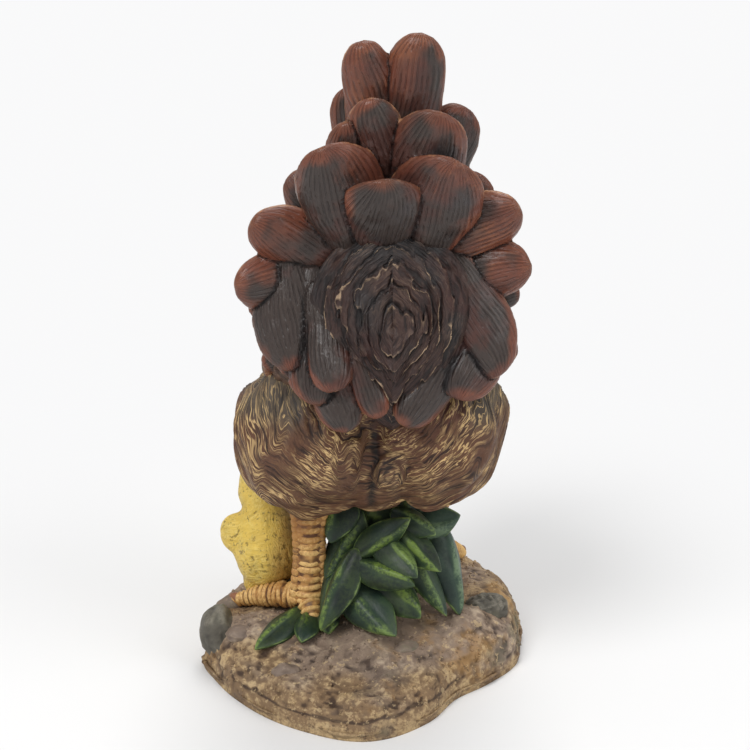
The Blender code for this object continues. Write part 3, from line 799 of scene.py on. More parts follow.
EARTH_PAINT = painted(
    "earth_paint",
    ((68, 56, 50), (138, 119, 103), (186, 167, 144)),
    other=((66, 49, 38), (128, 103, 76), (202, 174, 130)),
    patches=(((166, 128, 78), 38.0, 0.56, 0.68, 0.6), ((88, 74, 66), 62.0, 0.56, 0.68, 0.6),
             ((100, 106, 84), 30.0, 0.62, 0.74, 0.4), ((70, 54, 44), 300.0, 0.58, 0.64, 0.6),
             ((204, 178, 136), 380.0, 0.59, 0.65, 0.5)),
    wash=0.95, brush=0.95, gloss=0.7, grain=0.8,
)
mound = place(mound_skin(), EARTH_PAINT)

# %% [markdown]
# Stones lie half sunk in the earth. A stone is a ball pulled to an oval, with broad dents, and each
# is made from the same rule with its own numbers.

# %% Stones
STONES = (
    ((0.754, -0.046), (8, 6, 5), 20),
    ((-0.719, -0.308), (5.5, 4.2, 3), 0),
    ((0.254, -0.477), (4.8, 3.4, 2.6), 10),
    ((-0.439, -0.631), (5, 3.2, 3.2), 15),
    ((-0.807, 0.015), (6, 3.8, 4.5), 35),
    ((-0.88, -0.185), (6.2, 9.5, 9), 0),
    ((-0.596, 0.615), (6, 5, 4), 30),
    ((0.105, 0.8), (5.5, 4, 3.5), 0),
)


def pebble(sculpt, spot, sizes, turn, seed, rugged, around=48, rings=30):
    way = np.linspace(0.03, 0.97, rings) * math.pi
    round_way = np.linspace(0.0, 2 * math.pi, around, endpoint=False)
    way, round_way = np.meshgrid(way, round_way, indexing="ij")
    ring = np.sin(way)
    ball = xyz(ring * np.cos(round_way), ring * np.sin(round_way), -np.cos(way))
    ball = np.concatenate([ball.reshape(-1, 3), [(0.0, 0.0, -1.0), (0.0, 0.0, 1.0)]])
    dent = 1.0 + 0.16 * smooth_noise(ball * 1.6 + seed * 5.1, seed)
    dent += 0.04 * smooth_noise(ball * 5.0, seed + 1)
    dent -= rugged * smooth_step(0.1, 0.6, np.abs(rough_noise(ball * 3.1, 3, seed + 4)))
    points = ball * dent[:, None] * np.array(sizes)
    bend = math.radians(turn)
    x = points[:, 0] * math.cos(bend) - points[:, 1] * math.sin(bend)
    y = points[:, 0] * math.sin(bend) + points[:, 1] * math.cos(bend)
    points = xyz(x, y, points[:, 2]) + np.array(spot)
    relief = np.clip(4.0 * (dent - 0.98) + 0.4 * smooth_noise(points / 1.3, seed), -1.0, 1.0)
    quads, tris = shell_faces(rings, around)
    sculpt.add(points, quads, tris, relief=relief, tone=1.0 if seed in (0, 5) else 0.0)


STONE_PAINT = painted(
    "stone_paint",
    ((72, 60, 54), (122, 106, 94), (172, 154, 134)),
    other=((46, 43, 38), (86, 82, 73), (142, 136, 122)),
    patches=(((110, 108, 86), 50.0, 0.5, 0.66, 0.7),),
    wash=0.9, brush=0.7, gloss=0.6,
)
stones = Sculpt()
for number, ((across, along), sizes, turn) in enumerate(STONES):
    x, y = across * MOUND_WIDE / 2.0, along * MOUND_DEEP / 2.0
    rugged = 0.16 if number == 0 else 0.03
    spot = (x, y, float(earth_height(x, y)) - sizes[2] * 0.42)
    pebble(stones, spot, sizes, turn, number, rugged)
place(stones.mesh("sunk_stones"), STONE_PAINT)

# %% [markdown]
# Crumbs of earth are scattered over the mound with Geometry Nodes: points are dropped on the faces,
# a small uneven grain goes on each point, and every grain gets its own turn and size. The seed is
# fixed, so the crumbs fall the same way each time.

# %% Crumbs of earth
def run_tree(guide, tree, name, **values):
    """Runs the tree on the guide with these inputs and gives back a plain mesh."""
    modifier = guide.modifiers.new(name, "NODES")
    modifier.node_group = tree
    for item in tree.interface.items_tree:
        label = item.name.replace(" ", "_").lower()
        if item.item_type == "SOCKET" and item.in_out == "INPUT" and label in values:
            modifier[item.identifier] = values[label]
    guide.update_tag()
    made = baked(guide)
    guide.modifiers.remove(modifier)
    made.name = name
    return made


def finish_tree(w, result, instances, material):
    """Real faces instead of instances, with their material on, as the tree's result."""
    real = w.node("GeometryNodeRealizeInstances", {0: instances}).outputs[0]
    w.plug(result[0], w.node("GeometryNodeSetMaterial", {"Geometry": real, "Material": material}).outputs[0])
    return w.tree


def build_crumb_tree():
    w, given, result = new_group(
        "GeometryNodeTree", "scatter_crumbs",
        (
            ("Geometry", "Geometry", None), ("Density", "Float", 60000.0), ("Grain Size", "Float", 0.0006),
            ("Lowest", "Float", 0.004), ("Seed", "Int", 3), ("Material", "Material", None),
        ),
        (("Geometry", "Geometry"),),
    )
    spot = w.node("GeometryNodeInputPosition").outputs[0]
    up = w.node("ShaderNodeSeparateXYZ", {0: spot}).outputs["Z"]
    high = w.node("FunctionNodeCompare", {0: up, 1: given["Lowest"]}, operation="GREATER_THAN")
    drop = w.node("GeometryNodeDistributePointsOnFaces", {
        "Mesh": given["Geometry"], "Selection": high.outputs[0],
        "Density": given["Density"], "Seed": given["Seed"],
    })
    grain = w.node("GeometryNodeMeshIcoSphere", {"Subdivisions": 2, "Radius": given["Grain Size"]})
    sizes, turns = {0: (0.5, 0.5, 0.4), 1: (1.7, 1.3, 1.0)}, {1: (6.28, 6.28, 6.28)}
    size = w.node("FunctionNodeRandomValue", sizes, data_type="FLOAT_VECTOR")
    turn = w.node("FunctionNodeRandomValue", turns, data_type="FLOAT_VECTOR")
    put = w.node("GeometryNodeInstanceOnPoints", {
        "Points": drop.outputs["Points"], "Instance": grain.outputs["Mesh"],
        "Scale": size.outputs[0], "Rotation": turn.outputs[0],
    })
    return finish_tree(w, result, put.outputs[0], given["Material"])


crumbs = run_tree(
    mound, build_crumb_tree(), "earth_crumbs",
    density=55000.0, grain_size=0.00055, lowest=0.0045, seed=3, material=EARTH_PAINT,
)
place(crumbs, EARTH_PAINT)

# %% [markdown]
# The hen's body is a barrel from rump to breast, with the neck and head pressed on. Short feathers
# lie on it like roof tiles. Each tile rises towards its tip and drops to the next one, which is a
# saw-tooth wave along the body with every other row shifted by half a tile.

# %% Body, neck and head
HEN_X = 6.0
BELLY_Z = 60.0
BODY_WIDE = 73.0
BODY_TALL = 76.0
HEAD_Y = 46.0
HEAD_Z = 154.0
BODY_STATIONS = (
    (-40, 55, 0, 0),
    (-36.5, 55, 0.69, 0.60),
    (-24, 47, 1, 0.93),
    (-4, 39, 1, 1),
    (18, 38, 0.93, 0.97),
    (38, 43, 0.78, 0.84),
    (51, 50, 0.47, 0.53),
    (54, 52, 0, 0),
)


def tiles(flow, across, long, wide):
    """Saw-tooth height of overlapping round-tipped tiles: 0 at the root to 1 at the tip."""
    best = np.zeros_like(flow)
    for shift in (0.0, 1.0):
        row = np.floor(flow / long) - shift
        share = flow / long - row
        middle = (across / wide + 0.5 * (row % 2.0)) % 1.0 - 0.5
        reach = 1.55 - 2.2 * middle**2
        best = np.maximum(best, np.where(share < reach, share / reach, 0.0))
    return best


def body_skin():
    lump = Lump()
    lump.barrel([
        (y, HEN_X, BELLY_Z + up, wide * BODY_WIDE / 2.0, tall * BODY_TALL / 2.0)
        for y, up, wide, tall in BODY_STATIONS
    ])
    neck = ((HEN_X, 22.0, 112.0), (HEN_X, 36.0, 128.0), (HEN_X, HEAD_Y - 2.0, HEAD_Z - 6.0))
    lump.limb(neck, (29.0, 21.0, 12.0))
    lump.blob((HEN_X, HEAD_Y, HEAD_Z), (11.5, 14.0, 12.0), 10.0)
    skin = lump.skin(1.0, 4)
    points = skin[0]
    x, y, z = points.T
    front = smooth_step(26.0, 40.0, y + 0.5 * (z - 100.0)) + 0.4 * smooth_noise(points / 8.0, 6) > 0.5
    flow = np.where(front, (168.0 - z) * 1.05 - 0.3 * y, 60.0 - y + 0.35 * (140.0 - z))
    round_neck, round_back = np.arctan2(x - HEN_X, y - 6.0), np.arctan2(x - HEN_X, z - 100.0)
    around = np.where(front, round_neck * 32.0, round_back * 36.0)
    warp = 1.2 * smooth_noise(points / 14.0, 5)
    height = tiles(flow + warp, around + warp, 8.0, 9.5)
    barbs = np.cos(2 * math.pi * (around + 0.6 * rough_noise(points / 3.0, 2, 8)) / 1.3)
    face = smooth_step(44.0, 50.0, y) * smooth_step(142.0, 148.0, z)
    rump = smooth_step(-16.0, -24.0, y) * smooth_step(112.0, 104.0, z)
    relief = np.clip((1.6 * height - 0.75) + 0.3 * barbs, -1.0, 1.0) * (1.0 - 0.8 * face)
    push = (0.75 * (height - 0.75) + 0.1 * barbs) * (1.0 - face)
    push = push + 0.15 * smooth_noise(points / 2.2, 9) - 0.3 - 3.0 * rump
    tone = (0.2 + 0.5 * smooth_step(96.0, 150.0, z)) * smooth_step(-24.0, 4.0, y)
    return carved("hen_body", skin, push, relief=relief, tone=tone, across=around + warp, along=flow)


BODY_PAINT = painted(
    "body_feather_paint",
    ((36, 27, 24), (74, 54, 45), (124, 94, 70)),
    other=((52, 34, 26), (118, 78, 50), (186, 138, 90)),
    wash=0.9, brush=0.6, gloss=0.55, comb=(0.8, 8.0), comb_share=0.5, waver=0.3, barb_share=0.3,
)
place(body_skin(), BODY_PAINT)

# %% [markdown]
# Behind and below, the hen wears soft fluff. It is combed, not layered: long fine grooves sweep
# down each thigh and curl in towards the crease where the thighs meet, like rings round a point
# above the crease. So "across" is the distance from that point, and "along" is the way round it. On
# the flanks the rings turn into sweeps that run down and back.
# Coarse tufts and broad locks are carved as shape. The brush then drew thin golden threads on them,
# which meet and part as combed hair does.

# %% Combed fluff on thighs and belly
TAIL_ROOT_Y = -25.0
TAIL_HUB_Z = 140.0
THIGHS = ((-22.5, -16, 26.5, 26.5), (16.5, -14, 29, 24.5))
TUFT_PITCH = 10.0
TUFT_LENGTH = 2.2
TUFT_DEEP = 3.0
COMB_MIDDLE = (HEN_X - 3.0, -40.0, 112.0)
SWIRL_MIDDLE = (HEN_X + 2.5, -36.0, BELLY_Z + 21.0)


def tufted_blob(lump, spot, sizes, tip):
    pose = Matrix.Rotation(math.radians(tip), 3, "X")
    middle = Vector(spot)

    def rule(co):
        point = middle + pose @ Vector([co[i] * sizes[i] for i in range(3)])
        cell = Vector((point.x, point.y, point.z / TUFT_LENGTH)) / TUFT_PITCH
        return point + pose @ co * (TUFT_DEEP * noise.noise(cell))

    lump.ball(rule, 96, 64)


def fluff_skin():
    lump = Lump()
    for turn, y, up, wide in THIGHS:
        tufted_blob(lump, (HEN_X + turn, y, BELLY_Z + up), (wide, BODY_WIDE * 0.39, BODY_TALL * 0.36), -8.0)
    tufted_blob(lump, (HEN_X - 2.0, -12.0, BELLY_Z + 22.0), (20.0, 26.0, 22.0), 0.0)
    lump.blob((HEN_X, -14.0, 99.0), (27.0, 22.0, 30.0))
    lump.blob(SWIRL_MIDDLE, (6.0, 5.0, 7.0), -12.0)
    skin = lump.skin(0.66, 3)
    points = skin[0]
    x, y, z = points.T
    away = points - np.array(COMB_MIDDLE)
    away[:, 1] *= 0.45
    wander = 2.2 * smooth_noise(points / 13.0, 41) + 0.7 * smooth_noise(points / 5.0, 43)
    flank = smooth_step(0.45, 0.95, np.abs(skin[1][:, 0]))
    across = np.linalg.norm(away, axis=1) + wander + 0.8 * flank * (y + 30.0)
    along = np.arctan2(away[:, 0], -away[:, 2]) * 38.0 + 2.0 * smooth_noise(points / 7.0, 44)
    swirl = points - np.array(SWIRL_MIDDLE)
    ring = np.sqrt((swirl[:, 0] / 0.85) ** 2 + (swirl[:, 2] - 0.3 * swirl[:, 0]) ** 2)
    at_back = smooth_step(-34.0, -37.0, y)
    in_swirl = smooth_step(7.6, 6.6, ring) * at_back
    middle_line = 3.6 + 0.06 * (z - 80.0) + 1.4 * smooth_noise(points / 6.0, 45)
    crease = np.exp(-(((x - middle_line) / 1.7) ** 2)) * smooth_step(-22.0, -32.0, y)
    crease = crease * smooth_step(104.0, 92.0, z) * (1.0 - in_swirl)
    ovals = sum(np.exp(-(((ring - reach) / 0.5) ** 2)) for reach in (2.2, 4.7, 7.1)) * at_back
    coarse = smooth_noise(xyz(across / 3.0, along / 11.0, away[:, 1] / 8.0), 51)
    fine = smooth_noise(xyz(across / 1.1, along / 7.5, away[:, 1] / 6.0), 53)
    push = 0.4 * coarse + 0.45 * fine - 0.3 - 1.3 * crease - 0.25 * ovals
    relief = np.clip(0.6 * fine + 0.2 * coarse - 0.9 * crease - 0.4 * ovals, -1.0, 1.0)
    grey = smooth_step(88.0, 106.0, z) * smooth_step(16.0, 30.0, np.abs(x - HEN_X))
    grey = np.maximum(grey, np.maximum(0.6 * crease, 0.35 * in_swirl))
    return carved("thigh_fluff", skin, push, relief=relief, tone=grey, across=across, along=along)


FLUFF_PAINT = painted(
    "combed_fluff_paint",
    ((34, 22, 18), (92, 61, 44), (152, 114, 76)),
    other=((36, 32, 29), (76, 65, 55), (130, 114, 92)),
    patches=(((92, 48, 40), 34.0, 0.52, 0.68, 0.5), ((136, 100, 60), 30.0, 0.6, 0.74, 0.3)),
    wash=1.0, brush=0.35, gloss=0.58, comb=(0.95, 9.0), comb_share=0.5, waver=0.4,
    thread=(220, 186, 130), thread_share=0.85,
)
place(fluff_skin(), FLUFF_PAINT)

# %% [markdown]
# The tail is a rosette of thick petals that fan out from one hub, in three ranks: the far rank
# shows only its tips, the near rank lies over the others. The sculptor worked them in one lump of
# clay, so they melt into each other near the hub. Here the petals are pressed into one lump too,
# and the skin over it is read back: each point belongs to the petal whose surface is nearest, and
# where two petals are equally near there is a crease.

# %% Melt petals into one skin
def melted(petals, grain, name, extra=()):
    lump = Lump()
    for petal in petals:
        lump.petal(petal)
    for blob in extra:
        lump.blob(*blob)
    skin = lump.skin(grain)
    points = skin[0]
    readings = [np.stack(values) for values in zip(*(petal.read(points) for petal in petals))]
    order = np.argsort(readings[3], axis=0)
    rows = np.arange(len(points))
    best, next_best = order[0], order[1]
    across, along, rim, gap = (values[best, rows] for values in readings)
    next_gap = readings[3][next_best, rows]
    lengths, widths, seeds, darks = (
        np.array([getattr(petal, name) for petal in petals])[best]
        for name in ("length", "width", "seed", "dark")
    )
    way = np.clip(along / lengths, 0.0, 1.0)
    crease = smooth_step(0.9, 0.15, next_gap - gap) * smooth_step(0.3, 0.55, way)
    far = smooth_step(1.6, 3.0, gap)

    spots = points / 6.0 + seeds[:, None] * 3.7
    bulge = smooth_noise(spots, 7) + 0.4 * smooth_noise(points / 2.6 + seeds[:, None], 8)
    lines = across + (np.sin(seeds * 2.4) * 0.28) * along
    lines += 0.5 * smooth_noise(xyz(across / 5.0, along / 9.0, seeds * 1.7), 12)
    strength = smooth_step(-0.5, 0.4, smooth_noise(points / 7.0 + seeds[:, None], 13))
    barbs = np.cos(2 * math.pi * lines / BARB_PITCH) * strength
    strands = smooth_noise(xyz(lines / 1.5, along / 11.0, seeds * 1.3), 9)
    fade = smooth_step(0.8, 3.0, rim)
    push = 0.3 * bulge - 0.75 * crease + (0.07 * strands + 0.13 * barbs) * fade - 0.1
    relief = np.clip(0.25 * bulge + (0.12 * strands + 0.3 * barbs) * fade - 1.5 * crease, -1.0, 1.0)
    inner = smooth_step(0.6, 0.22 * np.minimum(widths, 24.0), rim) + 0.5 * smooth_step(0.8, 0.5, way)
    lean = np.sin(seeds * 5.3) * 0.5 * across / (0.5 * widths)
    streak = smooth_noise(xyz(lines / 1.1, along / 9.0, seeds * 0.7), 15)
    uneven = 0.45 * smooth_noise(points / 7.0, 10) + 0.15 * smooth_noise(points / 2.6, 14) + 0.12 * streak
    tone = np.clip(0.8 * inner + darks + lean + uneven, 0.0, 1.0)
    return carved(
        name, skin, push, relief=relief * (1.0 - far), edge=np.maximum(rim, 0.0) + 4.0 * far,
        tone=np.maximum(tone, far), across=lines + seeds * BARB_PITCH * 5.0, along=along,
    )


# %% [markdown]
# A feather of the fan is given by its angle from upright, its reach, width and thickness, how far
# its tip leans back, and how much it is domed. Under the fan hang broader feathers that turn down
# and in round the vent. Two wide sheets lie under those, so that no gap opens between them.

# %% Tail feathers
TAIL_RISE = 77.0
FAR_FEATHERS = (
    (-11, 62, 15, 7, 2, 1.5),
    (23, 60, 19, 7, 2, 1.5),
    (-41, 45, 18, 6, 0, 1.5),
    (43, 45, 19, 6, 0, 1.5),
    (-101, 44, 13, 6, 4, 1.5),
    (-114, 45, 11, 6, 2, 1.5),
    (-126, 48, 12, 6, 1, 1.5),
    (95, 42.5, 13, 6, 3, 1.5),
    (121, 48, 16, 6, 2, 1.5),
)
MIDDLE_FEATHERS = (
    (-5.2, TAIL_RISE - 1.2, 15.5, 8, 9, 2.5),
    (7.4, TAIL_RISE + 1.2, 18.5, 8, 9.5, 2.5),
    (-61, 47.5, 19.5, 8, 13, 3.5),
    (-87, 47.5, 21, 8, 11, 3.5),
    (55, 49, 19.5, 8, 13, 3.5),
    (79, 45.5, 21, 8, 10, 3.5),
)
NEAR_FEATHERS = (
    (-13, 55, 17, 7, 14, 3),
    (-4.2, 61, 17, 7, 17, 3),
    (15, 60, 25, 7, 19, 4),
    (-22, 53, 28, 8, 23, 5),
    (25.5, 50, 30, 8, 24, 5),
    (-2, 41.5, 27, 7, 29, 4.5),
)
HANGING_FEATHERS = (
    ((-28, -4, 14), (-26.5, -17.5, -24.5), 26, 6, 4, 0.2),
    ((-21, -6, 8), (-18.5, -21, -34), 24, 6, 4, 0.3),
    ((-19, -8, 2), (-11, -23.5, -42), 17, 6, 3, 0.5),
    ((-21, -8, 5), (-13.5, -26.5, -28.5), 16, 5, 3, 0.3),
    ((-9, -20, -16), (0, -25.5, -36.5), 11, 4, 2, 0),
    ((20, -5, 14), (35.5, -15.5, -26.5), 23, 8, 4, 0.3),
    ((32, -5, -2), (23, -19, -33.5), 24, 6, 4, 0.45),
    ((30, -9, -10), (5, -22.5, -39.5), 17, 6, 3, 0.35),
)
UNDER_SHEETS = (
    ((-24, -5, 11), (-20.5, -18.5, -30), 27, 6, 3, 0.35),
    ((23, -5, 9), (20, -17.5, -31), 27, 6, 3, 0.35),
)
TAIL_PAINT = painted(
    "tail_feather_paint",
    ((50, 28, 23), (112, 64, 48), (180, 116, 78)),
    other=((30, 25, 25), (60, 50, 46), (94, 82, 74)),
    rim=(128, 80, 58), rim_wide=0.8, rim_share=0.4, hair=(178, 130, 94),
    # The blue-grey patches are painted sheen on the dark feathers.
    patches=(((64, 62, 66), 30.0, 0.54, 0.7, 0.45), ((90, 50, 41), 38.0, 0.52, 0.66, 0.55)),
    wash=0.9, brush=0.45, gloss=0.36, coat=0.12,
    comb=(0.9, 11.0), comb_share=0.12, waver=0.12, barb_share=0.4,
)


BACKWARDS = (0.0, -1.0, 0.0)


def fan_petals(rows, rank, darks):
    petals = []
    for number, (degrees, reach, width, thick, back, camber) in enumerate(rows):
        turn = math.radians(degrees)
        hub = np.array((HEN_X + 1.5, TAIL_ROOT_Y + 2.0 - rank, TAIL_HUB_Z))
        tip = hub + np.array((math.sin(turn) * reach, -back, math.cos(turn) * reach))
        dark, seed = darks[number % len(darks)], rank * 20 + number
        petals.append(Petal(hub, tip, BACKWARDS, width, thick, camber, 1.0, seed=seed, dark=dark))
    return petals


def hanging_petals(rows, first_seed):
    hub = np.array((HEN_X, TAIL_ROOT_Y, TAIL_HUB_Z))
    return [
        Petal(hub + root, hub + tip, BACKWARDS, width, thick, camber, seed=first_seed + number, dark=dark)
        for number, (root, tip, width, thick, camber, dark) in enumerate(rows)
    ]


near_petals = fan_petals(MIDDLE_FEATHERS, 1, (-0.55, -0.15, -0.35, -0.3, -0.3, -0.25))
near_petals += fan_petals(NEAR_FEATHERS, 2, (0.1, 0.2, 0.1, -0.05, 0.05, 0.35))
near_petals += hanging_petals(HANGING_FEATHERS, 60) + hanging_petals(UNDER_SHEETS, 70)
place(melted(near_petals, 0.7, "near_tail"), TAIL_PAINT)

# %% [markdown]
# The far rank and the short covering feathers on the front of the tail, towards the hen's back, are
# melted the same way, a little coarser, because less of them is seen.

# %% Far and covering feathers
COVER_FEATHERS = (
    (-52, 34), (-26, 42), (0, 50), (26, 42), (52, 34),
    (-36, 24), (-12, 32), (12, 32), (36, 24),
)
far_petals = fan_petals(FAR_FEATHERS, 0, (0.1,))
hub = np.array((HEN_X + 1.5, TAIL_ROOT_Y + 7.0, TAIL_HUB_Z))
for number, (degrees, reach) in enumerate(COVER_FEATHERS):
    turn = math.radians(degrees)
    tip = hub + np.array((math.sin(turn) * reach, 3.0 - reach * 0.16, math.cos(turn) * reach))
    far_petals.append(Petal(hub, tip, (0.0, 1.0, 0.0), 19.0, 6.0, 4.0, seed=80 + number, dark=0.1))
tail_heart = ((HEN_X + 2.0, TAIL_ROOT_Y - 2.0, TAIL_HUB_Z), (29.0, 10.0, 32.0))
place(melted(far_petals, 0.8, "far_tail", extra=(tail_heart,)), TAIL_PAINT)

# %% [markdown]
# Round the vent the fluff stands in almond-shaped rows, one inside the other like the skins of an
# onion. Each row rises to a thin ragged edge and drops to the next one, so the whole is one domed
# surface with terraces. The strands follow the outline of the almond, as the fluff is combed down
# both sides from the top, and the brush left broken pale lines on the edges.

# %% Almond rows round the vent
VENT_ROWS = (
    (50, 66, 17.5, 10),
    (37, 54, 21.5, 8),
    (24.5, 41, 25, 7.5),
    (12, 27, 28, 8),
)
VENT_EDGES = np.array((0.0, 0.17, 0.31, 0.45, 0.6, 0.77, 1.04))
VENT_X = HEN_X + 3.2


def vent_skin(around=360, rings=170):
    share = np.linspace(0.02, 1.0, rings)
    turn = np.linspace(0.0, 2 * math.pi, around, endpoint=False)
    share, turn = np.meshgrid(share, turn, indexing="ij")
    known = np.array([(0.0, 0.0, 29.0, 8.0), *VENT_ROWS[::-1]]).T
    stops = (0.0, 0.24, 0.49, 0.74, 1.0)
    width, height, out, down = (np.interp(share, stops, row) for row in known)
    way = (1.0 - np.cos(turn)) / 2.0
    cheek = np.sign(np.sin(turn))
    broad = np.maximum(np.sin(math.pi * way**0.8), 0.0) ** (1.3 - 0.5 * share) * cheek
    x = VENT_X + broad * width / 2.0
    z = TAIL_HUB_Z - down + height * (0.5 - way)
    y = TAIL_ROOT_Y - out - 2.6 + 3.0 * (1.0 - way)
    spots = xyz(x, z, 0.0)
    follow = cheek * share * 25.0
    y = y + 2.6 * smooth_step(0.84, 1.0, share + 0.09 * smooth_noise(spots / 5.0, 89))
    ragged = share + 0.085 * smooth_noise(spots / 9.0, 90) + 0.045 * rough_noise(spots / 4.0, 3, 91)
    ragged += 0.05 * smooth_noise(xyz(x / 1.5, z / 9.0, follow / 9.0), 93)
    row = np.clip(np.searchsorted(VENT_EDGES, ragged, side="right") - 1, 0, len(VENT_EDGES) - 2)
    step = VENT_EDGES[row + 1] - VENT_EDGES[row]
    climb = np.clip((ragged - VENT_EDGES[row]) / step, 0.0, 1.0)
    lip = np.exp(-(((1.0 - climb) / 0.08) ** 2))
    ditch = np.exp(-((climb / 0.2) ** 2)) * (ragged > VENT_EDGES[1] * 0.5)
    strands = smooth_noise(xyz(follow / 1.3, z / 9.0, row * 2.7), 95)
    fold = smooth_noise(xyz(follow / 3.4, z / 15.0, row * 1.9), 96)
    hide = smooth_step(1.0, 0.93, share)
    push = (1.1 * climb**1.6 - 0.8 + 0.35 * lip - 0.35 * ditch + 0.28 * strands + 0.5 * fold) * hide
    # Near the top, under the middle of the tail, the rows are painted dark: painted shade in the hollow.
    painted_shade_under_tail = smooth_step(154.0, 168.0, z)
    relief = np.clip(0.6 * strands + 0.35 * fold + 0.5 * lip - 1.4 * ditch - 1.2 * painted_shade_under_tail, -1.0, 1.0)
    points = xyz(x, y - push, z)
    back = xyz(x[-1], TAIL_ROOT_Y - 9.0, z[-1])[None]
    inner_end = (VENT_X, float(y[0].mean()) + 0.3, TAIL_HUB_Z - 8.0)
    outer_end = (VENT_X, TAIL_ROOT_Y - 9.0, TAIL_HUB_Z - 10.0)
    points = np.concatenate([np.concatenate([points, back]).reshape(-1, 3), [inner_end, outer_end]])
    quads, tris = shell_faces(rings + 1, around)
    gap = (1.0 - climb) * step * 22.0 + 4.0 * (1.0 - hide)
    # The tone turns to the darker grey palette towards the top, as painted shade, with random patches over
    # it.
    painted_shade = smooth_step(148.0, 162.0, z) + 0.5 * smooth_noise(spots / 7.0, 97) + 0.3

    def closed(values, last, inner, outer):
        """The values with those of the last ring and of both ends put after them."""
        return np.append(values.ravel(), [last] * around + [inner, outer])

    skin = Sculpt()
    skin.add(
        points, quads, tris, relief=closed(relief, 0.0, 0.0, 0.0), edge=closed(gap, 6.0, 6.0, 6.0),
        tone=closed(np.clip(painted_shade, 0.0, 1.0), 1.0, 0.3, 1.0), across=closed(follow, 0.0, 0.0, 0.0),
        along=closed(z, 0.0, 130.0, 130.0),
    )
    return skin.mesh("vent_rows")


VENT_PAINT = painted(
    "vent_fluff_paint",
    ((28, 20, 19), (56, 39, 36), (92, 68, 58)),
    other=((26, 24, 25), (46, 41, 41), (78, 70, 66)),
    hair=(188, 160, 130),
    patches=(((70, 34, 30), 34.0, 0.56, 0.7, 0.5),),
    wash=0.95, brush=0.45, gloss=0.5, comb=(0.75, 6.0), comb_share=0.6,
    thread=(122, 98, 82), thread_share=0.3,
)
place(vent_skin(), VENT_PAINT)

# %% [markdown]
# The wings are folded flat on the flanks: one broad blade each, with three long feathers below it.

# %% Folded wings
WING_PAINT = painted(
    "wing_paint",
    ((46, 32, 28), (98, 70, 54), (180, 140, 98)),
    other=((40, 30, 28), (78, 58, 48), (150, 118, 88)),
    rim=(140, 88, 58), rim_wide=1.6, rim_share=0.5, hair=(190, 150, 108),
    wash=0.9, brush=0.65, gloss=0.5, comb=(1.0, 9.0), comb_share=0.6,
)
wing_petals = []
for turn in (-1.0, 1.0):
    side = HEN_X + turn * 30.0
    facing = (turn, -0.1, 0.15)
    root, tip = (side - turn * 3.0, 36.0, 120.0), (side, -20.0, 106.0)
    wing_petals.append(Petal(root, tip, facing, 42.0, 9.0, 3.5, seed=120 + int(turn)))
    for row, (fall, back) in enumerate(((0.0, -27.0), (-9.5, -21.0), (-18.0, -14.0))):
        root = (side + turn * 1.5, 22.0, 113.0 + fall * 0.6)
        tip = (side + turn * (2.0 - row * 0.4), back, 110.0 + fall)
        wing_petals.append(Petal(root, tip, facing, 14.0, 6.0, 3.5, seed=130 + row + int(turn) * 4))
place(melted(wing_petals, 0.75, "folded_wings"), WING_PAINT)

# %% [markdown]
# A hen's shank is covered with scales: broad plates lie one over the next down the leg, like a
# stack of rings, and columns of small round ones run down the corners. Toes carry the same rings,
# smaller. Geometry Nodes walk along the bone of each toe and put one ring at every step. A ring's
# rim counts as relief, so the light paint lies on the rims and the dark wash between them.

# %% Scaled legs
LEG_RADIUS = 5.3
TOE_RADIUS = 4.1
RING_AROUND = 16
RING_BANDS = 6
RING_POINTS = RING_AROUND * (RING_BANDS - 1) + 2
FEET = (
    ((-18.5, -11), (-18, -12), ((-45, 0), (-24, 24), (0, 12), (-17, -20))),
    ((25, 20), (24, 12), ((36.5, 43), (22, 52), (6, 44), (32, 4))),
)
COLUMNS = ((-4.4, -2.2), (4.4, -2.2), (-3.6, 3.4), (3.6, 3.4))
LEG_PAINT = painted(
    "scaly_leg_paint",
    ((84, 50, 30), (180, 130, 72), (232, 192, 124)),
    patches=(((160, 106, 58), 70.0, 0.54, 0.7, 0.5),),
    wash=1.0, brush=0.95, gloss=0.46,
)
CLAW_PAINT = painted(
    "claw_paint", ((70, 46, 36), (140, 92, 68), (190, 142, 104)),
    wash=0.6, brush=0.4, gloss=0.4,
)


